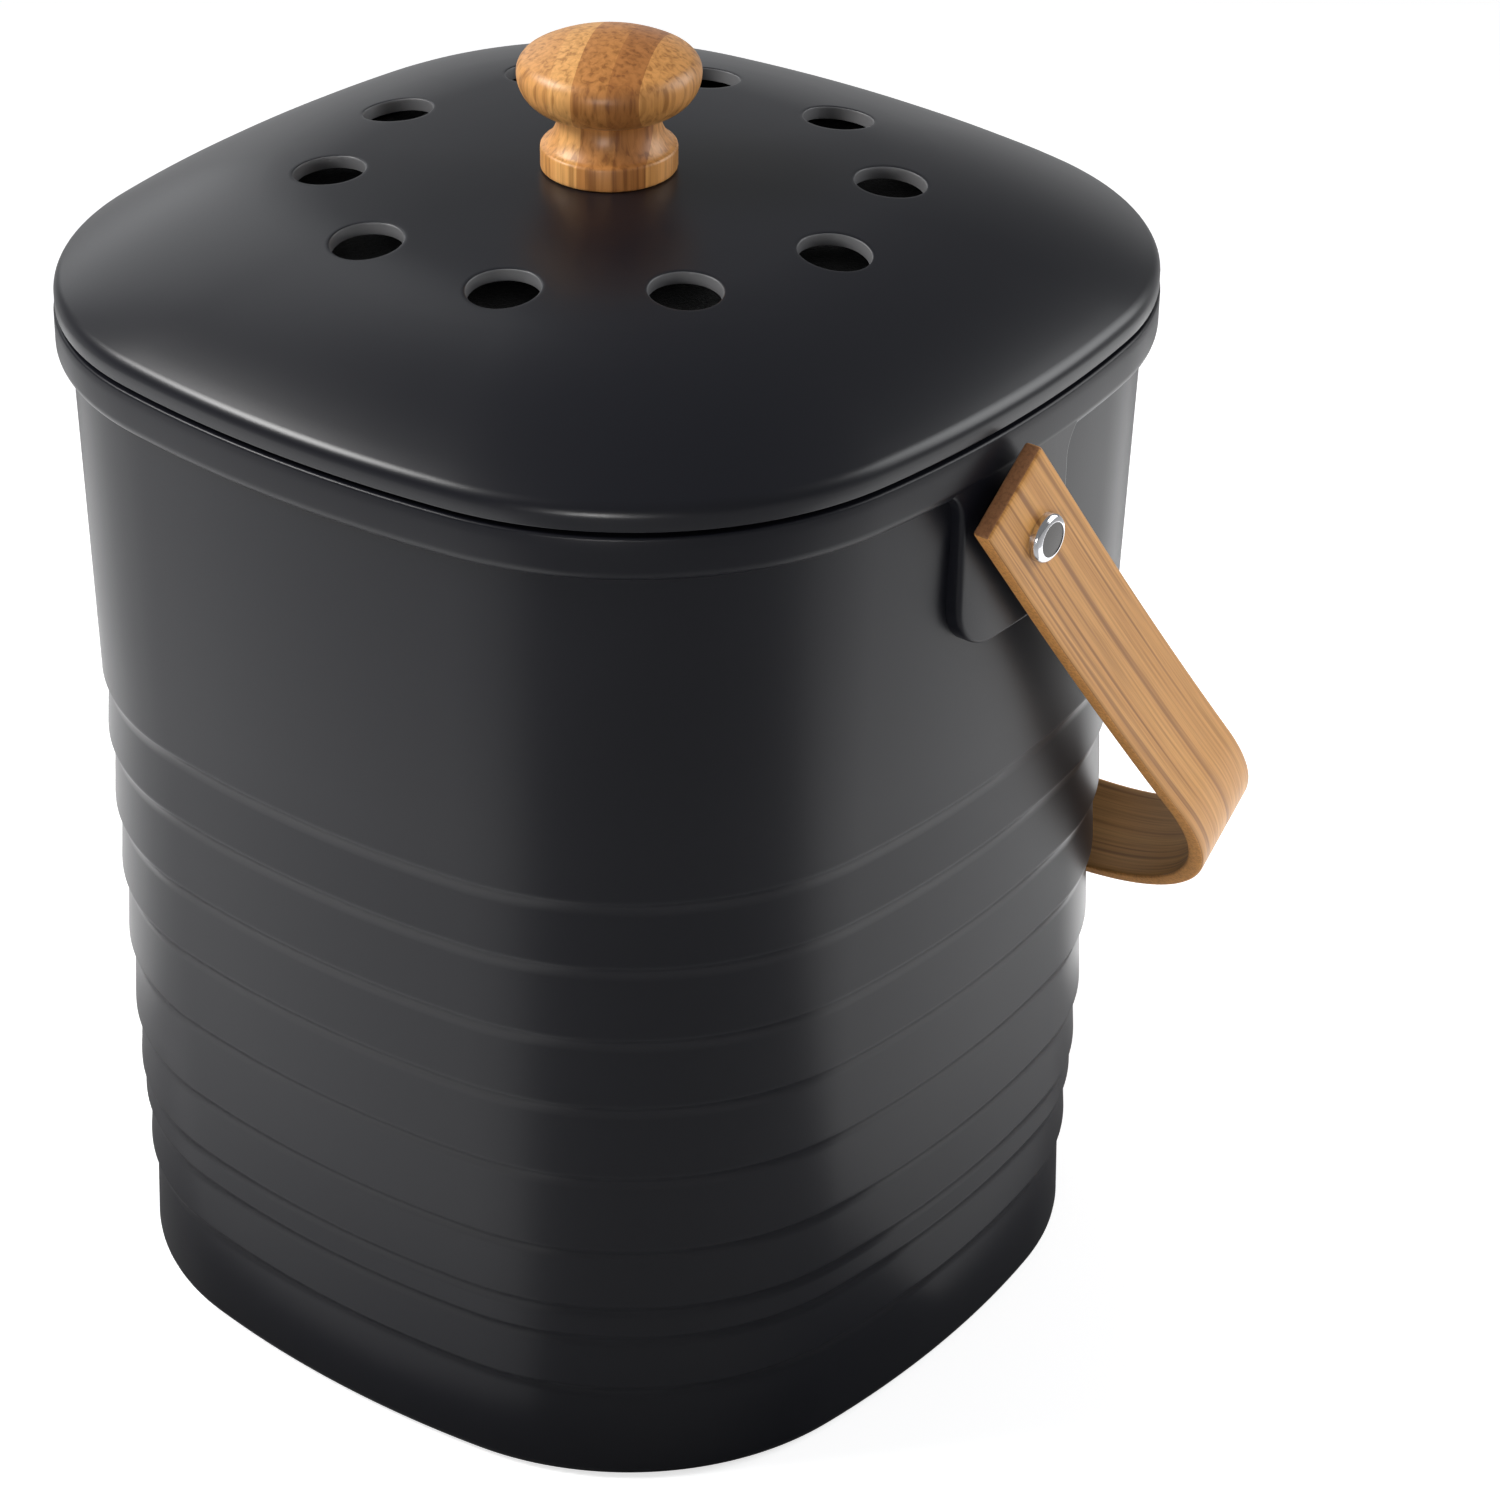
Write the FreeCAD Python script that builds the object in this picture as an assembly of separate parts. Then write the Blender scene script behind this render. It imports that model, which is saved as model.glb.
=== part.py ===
import FreeCAD, Part
import math
import os

from FreeCAD import Vector

# Countertop compost bin: a rounded-square moulded bucket with stepped bands, a domed vented lid with a
# turned bamboo knob, a bent bamboo bail on two capped rivets, and a charcoal filter under the lid.
# Millimetres. The origin is the centre of the base, +Z is up, the bail turns about an axis along X and
# hangs at the back (+Y). Every plan outline is the same eight tangent arcs, offset to a half width.

# Plan outline, stated at the lid's half width
lid_half_width = 100.0
side_bow_radius = 264.6
corner_radius = 67.7

# Bucket
wall_height = 214.5
wall_thickness = 3.0
wall_taper = 6.7
base_edge_radius = 2.5
floor_thickness = 3.5
floor_corner_radius = 4.0
band_step = 0.5
band_step_drop = 5.0
band_height_shares = (0.110, 0.172, 0.208, 0.275, 0.360, 0.440, 0.515, 0.594, 0.664)

# Rim band round the mouth
rim_lip = 0.2
rim_overhang = 2.8
rim_height = 8.7
rim_edge = 0.6
mouth_edge = 0.8

# Tongue-shaped bosses that carry the bail
pivot_drop = 13.7
boss_height = 36.5
boss_half_width = 16.5
boss_corner_radius = 10.0
boss_flare_radius = 9.0
boss_inset = 0.2
boss_edge = 0.8
spot_face_depth = 0.4
spot_face_margin = 0.6

# Lid
lid_gap = 2.1
lid_skirt_height = 1.4
lid_edge_radius = 3.5
lid_crown_height = 22.8
lid_thickness = 2.6
lid_plateau_corner_radius = 2.0
lid_bond_gap = 0.1
flange_depth = 9.2
flange_thickness = 2.5
flange_clearance = 0.5
vent_count = 10
vent_radius = 7.5
vent_inset = 44.6

# Seal ring in the collar's flange
seal_groove_depth = 1.2
seal_height = 3.0
seal_drop = 3.2
seal_fit = 0.05
seal_clearance = 0.3

# Charcoal filter, the cup under the lid that holds it and the retainer that closes the cup
filter_inset = 28.5
filter_thickness = 8.0
filter_edge = 0.8
filter_clearance = 0.3
cup_wall = 2.0
cup_ledge = 1.2
cup_bottom_above_rim = 3.8
retainer_thickness = 2.5
retainer_clearance = 0.1
retainer_ring_width = 8.0
retainer_hub_radius = 12.0
retainer_spoke_width = 5.0
retainer_spoke_pairs = 3

# Knob
knob_foot_radius = 13.6
knob_foot_height = 5.0
knob_foot_edge = 0.6
knob_neck_radius = 9.7
knob_neck_height = 9.2
knob_crease_radius = 10.0
knob_crease_height = 10.6
knob_cap_radius = 18.2
knob_widest_height = 19.9
knob_height = 27.5
knob_shoulder_radius = 5.0

# Knob fixing
insert_radius = 3.5
insert_length = 12.0
insert_recess = 1.0
insert_fit = 0.05
knob_hole_spare = 1.0
screw_radius = 2.0
screw_length = 15.0
screw_head_radius = 4.0
screw_head_height = 3.0
screw_head_edge = 0.8
screw_drive_radius = 1.25
screw_drive_depth = 1.6
screw_clearance = 0.2
knob_washer_radius = 6.0
knob_washer_thickness = 1.0

# Bail
strip_width = 21.0
strip_thickness = 3.8
strip_edge = 0.6
strip_end = 17.0
strip_seat = 14.0
bail_reach = 169.0
bail_bend_radius = 60.0
bail_bow = 3.0
bail_wall_clearance = 0.3

# Rivets, their inner screws and washers
post_radius = 2.5
post_fit = 0.05
post_short = 0.5
cap_radius = 5.0
cap_height = 2.2
cap_edge_radius = 1.2
spacer_radius = 6.5
spacer_thickness = 2.2
rivet_screw_radius = 1.5
rivet_screw_fit = 0.05
rivet_screw_length = 8.5
rivet_bore_spare = 1.0
rivet_head_radius = 4.5
rivet_head_height = 2.0
rivet_head_edge = 0.8
rivet_washer_radius = 7.0
rivet_washer_thickness = 1.0

# How far cutting tools run past the faces they cut, and the distance within which points count as one
overrun = 5.0
same_place = 0.001

# Sizes that follow from the ones above
rim_half_width = lid_half_width + rim_lip
wall_half_width = rim_half_width - rim_overhang
base_half_width = wall_half_width - wall_taper
mouth_half_width = wall_half_width - wall_thickness
floor_half_width = base_half_width - wall_thickness
rim_top = wall_height + rim_height
pivot_height = wall_height - pivot_drop
boss_bottom = wall_height - boss_height
boss_face = rim_half_width - boss_inset
skirt_bottom = rim_top + lid_gap
skirt_top = skirt_bottom + lid_skirt_height
skirt_inside = lid_half_width - lid_thickness
knob_seat = skirt_bottom + lid_crown_height
lid_under_seat = knob_seat - lid_thickness
plateau_half_width = lid_half_width - corner_radius + lid_plateau_corner_radius
vent_circle_radius = lid_half_width - vent_inset
filter_radius = lid_half_width - filter_inset
cup_bottom = rim_top + cup_bottom_above_rim
filter_bottom = cup_bottom + retainer_thickness
cup_inner_radius = filter_radius + filter_clearance
cup_mouth_radius = cup_inner_radius + cup_ledge
cup_outer_radius = cup_mouth_radius + cup_wall
retainer_radius = cup_mouth_radius - retainer_clearance
strip_inner_face = boss_face + spacer_thickness
strip_outer_face = strip_inner_face + strip_thickness

X_AXIS = Vector(1, 0, 0)
Z_AXIS = Vector(0, 0, 1)
CENTRE = Vector(0, 0, 0)


def direction(angle):
    return Vector(math.cos(angle), math.sin(angle), 0)


def plan_arcs():
    """The eight arcs of the plan outline at the lid's half width: centre, radius, start and end angle."""
    side_centre = lid_half_width - side_bow_radius
    reach = side_bow_radius - corner_radius
    corner_centre = (side_centre + math.sqrt(2 * reach ** 2 - side_centre ** 2)) / 2
    side_angle = math.atan2(corner_centre, corner_centre - side_centre)
    diagonal = math.hypot(corner_centre, corner_centre)
    arcs = []
    for quarter in range(4):
        turn = quarter * math.pi / 2
        corner = direction(turn + math.pi / 4) * diagonal
        arcs.append((direction(turn) * side_centre, side_bow_radius, turn - side_angle, turn + side_angle))
        arcs.append((corner, corner_radius, turn + side_angle, turn + math.pi / 2 - side_angle))
    return arcs


PLAN = plan_arcs()


def plan_face(half_width, height):
    """Flat face with the plan outline at a half width and a height."""
    lift = Vector(0, 0, height)
    edges = []
    for centre, radius, start, end in PLAN:
        reach = radius + half_width - lid_half_width
        points = [centre + direction(angle) * reach + lift for angle in (start, (start + end) / 2, end)]
        edges.append(Part.Arc(*points).toShape())
    return Part.Face(Part.Wire(edges))


def swept_solid(section, caps=()):
    """Solid whose section, edges in the XZ plane, follows the plan outline round, closed by flat caps."""
    faces = list(caps)
    for edge in section:
        for centre, radius, start, end in PLAN:
            placed = edge.copy()
            placed.translate(X_AXIS * (radius - lid_half_width))
            placed.rotate(CENTRE, Z_AXIS, math.degrees(start))
            placed.translate(centre)
            faces += placed.revolve(centre, Z_AXIS, math.degrees(end - start)).Faces
    shell = Part.makeShell(faces)
    shell.sewShape()
    solid = Part.makeSolid(Part.Shell(shell.Faces))
    if solid.Volume < 0:
        solid.reverse()
    return solid


def rounded_section(corners):
    """Section edges in the XZ plane through (distance from the axis, height, corner radius) points. Where
    a corner's rounding takes up a whole straight run, no edge is left of the run."""
    points = [Vector(place[0], 0, place[1]) for place in corners]
    edges = []
    last = points[0]
    for number in range(1, len(points)):
        point = points[number]
        radius = corners[number][2] if len(corners[number]) > 2 else 0
        if radius > 0:
            before = (points[number - 1] - point).normalize()
            after = (points[number + 1] - point).normalize()
            half = before.getAngle(after) / 2
            leg = radius / math.tan(half)
            bisector = (before + after).normalize()
            top = point + bisector * (radius / math.sin(half) - radius)
            start = point + before * leg
            end = point + after * leg
        else:
            start = point
            end = point
        if (start - last).Length > same_place:
            edges.append(Part.makeLine(last, start))
        if radius > 0:
            edges.append(Part.Arc(start, top, end).toShape())
        last = end
    return edges


def section_arc(centre, radius, start, end):
    """Section edge on a circle, between two slopes measured from the vertical through its centre."""
    points = []
    for slope in (start, (start + end) / 2, end):
        points.append(Vector(centre[0] + radius * math.sin(slope), 0, centre[1] + radius * math.cos(slope)))
    return Part.Arc(*points).toShape()


def turned(section):
    """Solid of revolution about Z from a section that closes along the axis."""
    first = section[0].Vertexes[0].Point
    last = section[-1].Vertexes[-1].Point
    if (last - first).Length > same_place:
        section = section + [Part.makeLine(last, first)]
    return Part.Face(Part.Wire(section)).revolve(CENTRE, Z_AXIS, 360)


def disc(radius, bottom, top):
    return Part.makeCylinder(radius, top - bottom, Vector(0, 0, bottom), Z_AXIS)


def ring(radius, bore, bottom, top):
    return disc(radius, bottom, top).cut(disc(bore, bottom, top))


def x_cylinder(radius, start, end):
    """Cylinder on the bail's axis between two places along X."""
    return Part.makeCylinder(radius, end - start, Vector(start, 0, pivot_height), X_AXIS)


def both_hands(shape):
    return [shape, shape.mirror(CENTRE, X_AXIS)]


def round_edges(shape, axis, low, high):
    """Closed edges of a shape whose centres lie between two places along an axis."""
    found = []
    for edge in shape.Edges:
        if edge.Closed and low < edge.CenterOfMass.dot(axis) < high:
            found.append(edge)
    return found


def band_edges():
    """Height of each step's edge, with the half widths of the wall below and above it, from the lowest up."""
    steps = []
    for number, share in enumerate(band_height_shares):
        below = base_half_width + number * band_step
        steps.append((share * wall_height, below, below + band_step))
    return steps


def wall_half_width_at(height):
    """Half width of the outside of the banded wall at a height, taken at the edge of a step under way."""
    half_width = base_half_width
    for edge, below, above in band_edges():
        if height > edge - band_step_drop:
            half_width = above
    return half_width


def inner_half_width_at(height):
    """Half width of the inside of the bucket at a height."""
    share = (height - floor_thickness) / (rim_top - floor_thickness)
    return floor_half_width + (mouth_half_width - floor_half_width) * share


def bucket_section():
    """Section of the bucket from the base's edge up the outside, over the rim and down to the floor."""
    corners = [(base_half_width - base_edge_radius, 0), (base_half_width, 0, base_edge_radius)]
    for edge, below, above in band_edges():
        corners.append((below, edge - band_step_drop))
        corners.append((above, edge))
    corners += [
        (wall_half_width, wall_height),
        (rim_half_width, wall_height, rim_overhang),
        (rim_half_width, rim_top - rim_edge),
        (rim_half_width - rim_edge, rim_top),
        (mouth_half_width + mouth_edge, rim_top),
        (inner_half_width_at(rim_top - mouth_edge), rim_top - mouth_edge),
        (floor_half_width, floor_thickness, floor_corner_radius),
        (0, floor_thickness),
    ]
    return rounded_section(corners)[:-1]


def level_edges(shape, half_width, height):
    """Edges along X at a half width to either side and a height."""
    found = []
    for edge in shape.Edges:
        middle = edge.CenterOfMass
        if math.hypot(abs(middle.y) - half_width, middle.z - height) < same_place:
            found.append(edge)
    return found


def boss():
    """One boss: a tongue that hangs from the rim band, flares into it and ends just inside its face."""
    side = boss_half_width
    flare_top = wall_height + rim_overhang
    bar_side = side + 2 * boss_flare_radius
    bar_top = rim_top - rim_edge
    root = inner_half_width_at(boss_bottom) + wall_thickness / 2
    outline = [
        (-side, boss_bottom), (side, boss_bottom), (side, flare_top), (bar_side, flare_top),
        (bar_side, bar_top), (-bar_side, bar_top), (-bar_side, flare_top), (-side, flare_top),
    ]
    corners = [Vector(root, y, z) for y, z in outline]
    face = Part.Face(Part.makePolygon(corners + corners[:1]))
    tongue = face.extrude(X_AXIS * (boss_face + overrun - root))
    tongue = tongue.makeFillet(boss_corner_radius, level_edges(tongue, side, boss_bottom))
    tongue = tongue.makeFillet(boss_flare_radius, level_edges(tongue, side, flare_top))
    flush = plan_face(boss_face, boss_bottom - overrun)
    flush = flush.extrude(Z_AXIS * (bar_top - boss_bottom + 2 * overrun))
    tongue = tongue.common(flush)
    front = max(tongue.Faces, key=lambda face: face.CenterOfMass.x)
    below_band = [edge for edge in front.Edges if edge.BoundBox.ZMin < wall_height]
    return tongue.makeChamfer(boss_edge, below_band)


def bucket():
    section = bucket_section()
    floor_edge = section[-1].Vertexes[-1].Point.x
    caps = [plan_face(base_half_width - base_edge_radius, 0), plan_face(floor_edge, floor_thickness)]
    body = swept_solid(section, caps).fuse(both_hands(boss()))
    wall_inside = inner_half_width_at(pivot_height)
    hole = x_cylinder(post_radius + post_fit, wall_inside - overrun, boss_face + overrun)
    seat = x_cylinder(rivet_washer_radius + spot_face_margin, wall_inside - overrun, wall_seat())
    return body.cut(both_hands(hole)).cut(both_hands(seat))


def wall_seat():
    """Place along X of the spot face inside the bucket, where a rivet's washer sits."""
    return inner_half_width_at(pivot_height) + spot_face_depth


def crown_arc(depth):
    """The lid's crown at a depth under its skin, tangent to the level plateau by the knob and to the edge
    rounding: centre, radius and the slope at its outer end."""
    run = lid_half_width - lid_edge_radius - plateau_half_width
    rise = knob_seat - skirt_top
    radius = (run ** 2 + rise ** 2 - lid_edge_radius ** 2) / (2 * (rise - lid_edge_radius))
    slope = math.atan2(run, radius - rise)
    return (plateau_half_width, knob_seat - radius), radius - depth, slope


def crown_stretch(depth, start, end):
    """Section edge along the crown at a depth, between two half widths."""
    centre, radius, slope = crown_arc(depth)
    slopes = [math.asin((half_width - plateau_half_width) / radius) for half_width in (start, end)]
    return section_arc(centre, radius, *slopes)


def flange_half_width():
    """Half width of the collar's locating flange, which clears the mouth down to its lower edge."""
    return inner_half_width_at(rim_top - flange_depth) - flange_clearance


def lid():
    """Domed shell of the lid, with its short skirt, ten vents and the hole for the knob's screw."""
    centre, radius, slope = crown_arc(0)
    dome = section_arc(centre, radius, 0, slope)
    edge_centre = (lid_half_width - lid_edge_radius, skirt_top)
    edge = section_arc(edge_centre, lid_edge_radius, slope, math.pi / 2)
    under = crown_stretch(lid_thickness, skirt_inside, plateau_half_width)
    skirt = rounded_section([
        (lid_half_width, skirt_top), (lid_half_width, skirt_bottom),
        (skirt_inside, skirt_bottom), (skirt_inside, under.Vertexes[0].Point.z),
    ])
    caps = [plan_face(plateau_half_width, knob_seat), plan_face(plateau_half_width, lid_under_seat)]
    shell = swept_solid([dome, edge] + skirt + [under], caps)
    hole = disc(vent_radius, skirt_bottom, knob_seat + overrun)
    holes = [disc(screw_radius + screw_clearance, skirt_bottom, knob_seat + overrun)]
    for number in range(vent_count):
        vent = hole.copy()
        vent.translate(direction(number * 2 * math.pi / vent_count) * vent_circle_radius)
        holes.append(vent)
    return shell.cut(holes)


def lid_collar():
    """Ring bonded under the lid's edge: its land rests on the rim and its grooved flange fits the mouth."""
    land = skirt_inside - lid_bond_gap
    flange = flange_half_width()
    flange_inside = flange - flange_thickness
    flange_bottom = rim_top - flange_depth
    groove = flange - seal_groove_depth
    groove_top = rim_top - seal_drop
    groove_bottom = groove_top - seal_height
    top = crown_stretch(lid_thickness + lid_bond_gap, flange_inside, land)
    corners = [
        (land, top.Vertexes[-1].Point.z),
        (land, rim_top),
        (flange, rim_top),
        (flange, groove_top),
        (groove, groove_top),
        (groove, groove_bottom),
        (flange, groove_bottom),
        (flange, flange_bottom),
        (flange_inside, flange_bottom),
        (flange_inside, top.Vertexes[0].Point.z),
    ]
    return swept_solid([top] + rounded_section(corners))


def filter_cup():
    """Round wall bonded under the lid, stepped so that the retainer seats on a ledge below the filter."""
    depth = lid_thickness + lid_bond_gap
    dome = crown_stretch(depth, plateau_half_width, cup_outer_radius)
    side = dome.Vertexes[-1].Point
    wall = Part.makeLine(side, Vector(side.x, 0, cup_bottom))
    caps = [plan_face(plateau_half_width, knob_seat - depth), plan_face(side.x, cup_bottom)]
    under_crown = swept_solid([dome, wall], caps)
    cup = ring(cup_outer_radius, cup_inner_radius, cup_bottom, knob_seat)
    return cup.cut(disc(cup_mouth_radius, cup_bottom, filter_bottom)).common(under_crown)


def lid_seal():
    """Soft ring in the collar's groove, with a pointed lip towards the mouth of the bucket."""
    flange = flange_half_width()
    inside = flange - seal_groove_depth + seal_fit
    top = rim_top - seal_drop - seal_fit
    bottom = rim_top - seal_drop - seal_height + seal_fit
    lip = inner_half_width_at(bottom) - seal_clearance
    middle = (top + bottom) / 2
    corners = [
        (inside, bottom), (flange, bottom), (lip, middle), (flange, top), (inside, top), (inside, bottom),
    ]
    return swept_solid(rounded_section(corners))


def knob():
    """Turned knob: disc foot, hollowed neck and a mushroom cap, with a blind hole for the insert."""
    seat = knob_seat
    foot_top = seat + knob_foot_height
    foot_edge = knob_foot_radius - knob_foot_edge
    neck_top = seat + knob_neck_height
    crease = seat + knob_crease_height
    widest = seat + knob_widest_height
    top = seat + knob_height
    foot = rounded_section([
        (0, seat), (foot_edge, seat), (knob_foot_radius, seat + knob_foot_edge),
        (knob_foot_radius, foot_top - knob_foot_edge), (foot_edge, foot_top),
    ])
    hollow_run = foot_edge - knob_neck_radius
    hollow_rise = neck_top - foot_top
    hollow_radius = (hollow_run ** 2 + hollow_rise ** 2) / (2 * hollow_run)
    hollow_centre = (knob_neck_radius + hollow_radius, neck_top)
    hollow_start = math.atan2(foot_edge - hollow_centre[0], foot_top - neck_top)
    hollow = section_arc(hollow_centre, hollow_radius, hollow_start, -math.pi / 2)
    neck = Part.makeLine(Vector(knob_neck_radius, 0, neck_top), Vector(knob_crease_radius, 0, crease))
    under_run = knob_cap_radius - knob_crease_radius
    under_rise = widest - crease
    under_radius = (under_run ** 2 + under_rise ** 2) / (2 * under_run)
    under_centre = (knob_cap_radius - under_radius, widest)
    under_start = math.atan2(knob_crease_radius - under_centre[0], crease - widest)
    under = section_arc(under_centre, under_radius, under_start, math.pi / 2)
    shoulder_centre = (knob_cap_radius - knob_shoulder_radius, widest)
    rise = top - widest
    square = shoulder_centre[0] ** 2 + rise ** 2 - knob_shoulder_radius ** 2
    top_radius = square / (2 * (rise - knob_shoulder_radius))
    top_slope = math.atan2(shoulder_centre[0], top_radius - rise)
    shoulder = section_arc(shoulder_centre, knob_shoulder_radius, math.pi / 2, top_slope)
    dome = section_arc((0, top - top_radius), top_radius, top_slope, 0)
    body = turned(foot + [hollow, neck, under, shoulder, dome])
    hole_top = seat + insert_recess + insert_length + knob_hole_spare
    return body.cut(disc(insert_radius + insert_fit, seat - overrun, hole_top))


def knob_insert():
    bottom = knob_seat + insert_recess
    return ring(insert_radius, screw_radius + insert_fit, bottom, bottom + insert_length)


def knob_washer():
    bottom = lid_under_seat - knob_washer_thickness
    return ring(knob_washer_radius, screw_radius + screw_clearance, bottom, lid_under_seat)


def knob_screw():
    shoulder = lid_under_seat - knob_washer_thickness
    head_bottom = shoulder - screw_head_height
    head = disc(screw_head_radius, head_bottom, shoulder)
    rim = round_edges(head, Z_AXIS, head_bottom - overrun, shoulder - screw_head_height / 2)
    head = head.makeChamfer(screw_head_edge, rim)
    shank = disc(screw_radius, shoulder, shoulder + screw_length)
    drive = disc(screw_drive_radius, head_bottom, head_bottom + screw_drive_depth)
    return head.fuse(shank).cut(drive)


def charcoal_filter():
    pad = disc(filter_radius, filter_bottom, filter_bottom + filter_thickness)
    return pad.makeChamfer(filter_edge, round_edges(pad, Z_AXIS, 0, knob_seat))


def filter_retainer():
    """Spoked plate that snaps into the cup's mouth and holds the filter up."""
    rim = ring(retainer_radius, retainer_radius - retainer_ring_width, cup_bottom, filter_bottom)
    hub = disc(retainer_hub_radius, cup_bottom, filter_bottom)
    reach = retainer_radius - retainer_ring_width / 2
    spokes = []
    for number in range(retainer_spoke_pairs):
        corner = Vector(-reach, -retainer_spoke_width / 2, cup_bottom)
        bar = Part.makeBox(2 * reach, retainer_spoke_width, retainer_thickness, corner)
        bar.rotate(CENTRE, Z_AXIS, number * 180 / retainer_spoke_pairs)
        spokes.append(bar)
    return rim.fuse([hub] + spokes).removeSplitter()


def hang_angle():
    """Angle of the bail below level where its crossbar comes to rest by the back wall."""
    reach = bail_reach - strip_thickness
    half = strip_width / 2
    lean = math.atan2(half, reach)
    angle = math.pi / 4
    for _ in range(8):
        height = pivot_height - reach * math.sin(angle) - half * math.cos(angle)
        wall = wall_half_width_at(height) + bail_wall_clearance
        angle = math.acos(wall / math.hypot(reach, half)) - lean
    return angle


def bail_side(depth):
    """Edges of one side of the bail's outline at a depth under its outer face, from the free end of the
    leg to the crossbar. The leg seats flat by the rivet, bows outwards, then bends into the crossbar."""
    bend_radius = bail_bend_radius + strip_thickness
    bow_end = bail_reach - bend_radius
    for _ in range(12):
        run = bow_end - strip_seat
        bow_radius = (run ** 2 + bail_bow ** 2) / (2 * bail_bow)
        bow = math.asin(run / bow_radius)
        bow_end = bail_reach - bend_radius * (1 + math.sin(bow))
    face = strip_outer_face
    bow_centre = Vector(face + bow_radius, strip_seat, 0)
    bend_centre = bow_centre + direction(math.pi - bow) * (bow_radius + bend_radius)

    def on_bow(angle):
        return bow_centre + direction(math.pi - angle) * (bow_radius + depth)

    def on_bend(angle):
        return bend_centre + direction(angle) * (bend_radius - depth)

    leg = Part.makeLine(Vector(face - depth, -strip_end, 0), Vector(face - depth, strip_seat, 0))
    bowed = Part.Arc(on_bow(0), on_bow(bow / 2), on_bow(bow)).toShape()
    bent = Part.Arc(on_bend(-bow), on_bend((math.pi / 2 - bow) / 2), on_bend(math.pi / 2)).toShape()
    return [leg, bowed, bent]


def handle():
    """Bent strip bail: a U of constant thickness with eased edges, holed for the rivets."""
    edges = []
    for depth in (0, strip_thickness):
        right = bail_side(depth)
        left = [edge.mirror(CENTRE, X_AXIS) for edge in right]
        bar_end = right[-1].Vertexes[-1].Point
        edges += right + left
        edges.append(Part.makeLine(bar_end, Vector(-bar_end.x, bar_end.y, 0)))
    for hand in (1, -1):
        outer = Vector(hand * strip_outer_face, -strip_end, 0)
        inner = Vector(hand * strip_inner_face, -strip_end, 0)
        edges.append(Part.makeLine(outer, inner))
    outline = Part.Wire(Part.__sortEdges__(edges))
    strip = Part.Face(outline).extrude(Z_AXIS * strip_width)
    strip.translate(Vector(0, 0, -strip_width / 2))
    strip = strip.makeChamfer(strip_edge, strip.Edges)
    strip.rotate(CENTRE, X_AXIS, -math.degrees(hang_angle()))
    strip.translate(Vector(0, 0, pivot_height))
    reach = strip_outer_face + overrun
    return strip.cut(x_cylinder(post_radius + post_fit, -reach, reach))


def rivet():
    """Capped post through the bail, the spacer and the boss, bored for the inner screw."""
    cap_face = strip_outer_face + cap_height
    post_end = wall_seat() + post_short
    cap = x_cylinder(cap_radius, strip_outer_face, cap_face)
    crown = round_edges(cap, X_AXIS, cap_face - cap_height / 2, cap_face + overrun)
    cap = cap.makeFillet(cap_edge_radius, crown)
    post = x_cylinder(post_radius, post_end, strip_outer_face)
    bore_end = wall_seat() - rivet_washer_thickness + rivet_screw_length + rivet_bore_spare
    bore = x_cylinder(rivet_screw_radius + rivet_screw_fit, post_end - overrun, bore_end)
    return cap.fuse(post).cut(bore)


def rivet_screw():
    seat = wall_seat() - rivet_washer_thickness
    head_end = seat - rivet_head_height
    head = x_cylinder(rivet_head_radius, head_end, seat)
    rim = round_edges(head, X_AXIS, head_end - overrun, seat - rivet_head_height / 2)
    head = head.makeChamfer(rivet_head_edge, rim)
    return head.fuse(x_cylinder(rivet_screw_radius, seat, seat + rivet_screw_length))


def rivet_washer():
    seat = wall_seat()
    bore = x_cylinder(rivet_screw_radius + rivet_screw_fit, seat - rivet_washer_thickness, seat)
    return x_cylinder(rivet_washer_radius, seat - rivet_washer_thickness, seat).cut(bore)


def handle_spacer():
    bore = x_cylinder(post_radius + post_fit, boss_face, strip_inner_face)
    return x_cylinder(spacer_radius, boss_face, strip_inner_face).cut(bore)


def build():
    parts = {
        "bucket": bucket(),
        "lid": lid(),
        "lid_collar": lid_collar(),
        "lid_seal": lid_seal(),
        "filter_cup": filter_cup(),
        "knob": knob(),
        "knob_insert": knob_insert(),
        "knob_washer": knob_washer(),
        "knob_screw": knob_screw(),
        "charcoal_filter": charcoal_filter(),
        "filter_retainer": filter_retainer(),
        "handle": handle(),
    }
    fixings = {
        "rivet": rivet(),
        "rivet_screw": rivet_screw(),
        "rivet_washer": rivet_washer(),
        "handle_spacer": handle_spacer(),
    }
    for name, shape in fixings.items():
        parts[name + "_right"], parts[name + "_left"] = both_hands(shape)
    return parts


os.makedirs("parts", exist_ok=True)
for name, shape in build().items():
    box = shape.BoundBox
    print(name, "solids", len(shape.Solids), "valid", shape.isValid(),
          "volume", round(shape.Volume), "z", round(box.ZMin, 2), round(box.ZMax, 2))
    shape.exportStep("parts/" + name + ".step")
print("bail hangs", round(math.degrees(hang_angle()), 2), "degrees below level")
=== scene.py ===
import math

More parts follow.
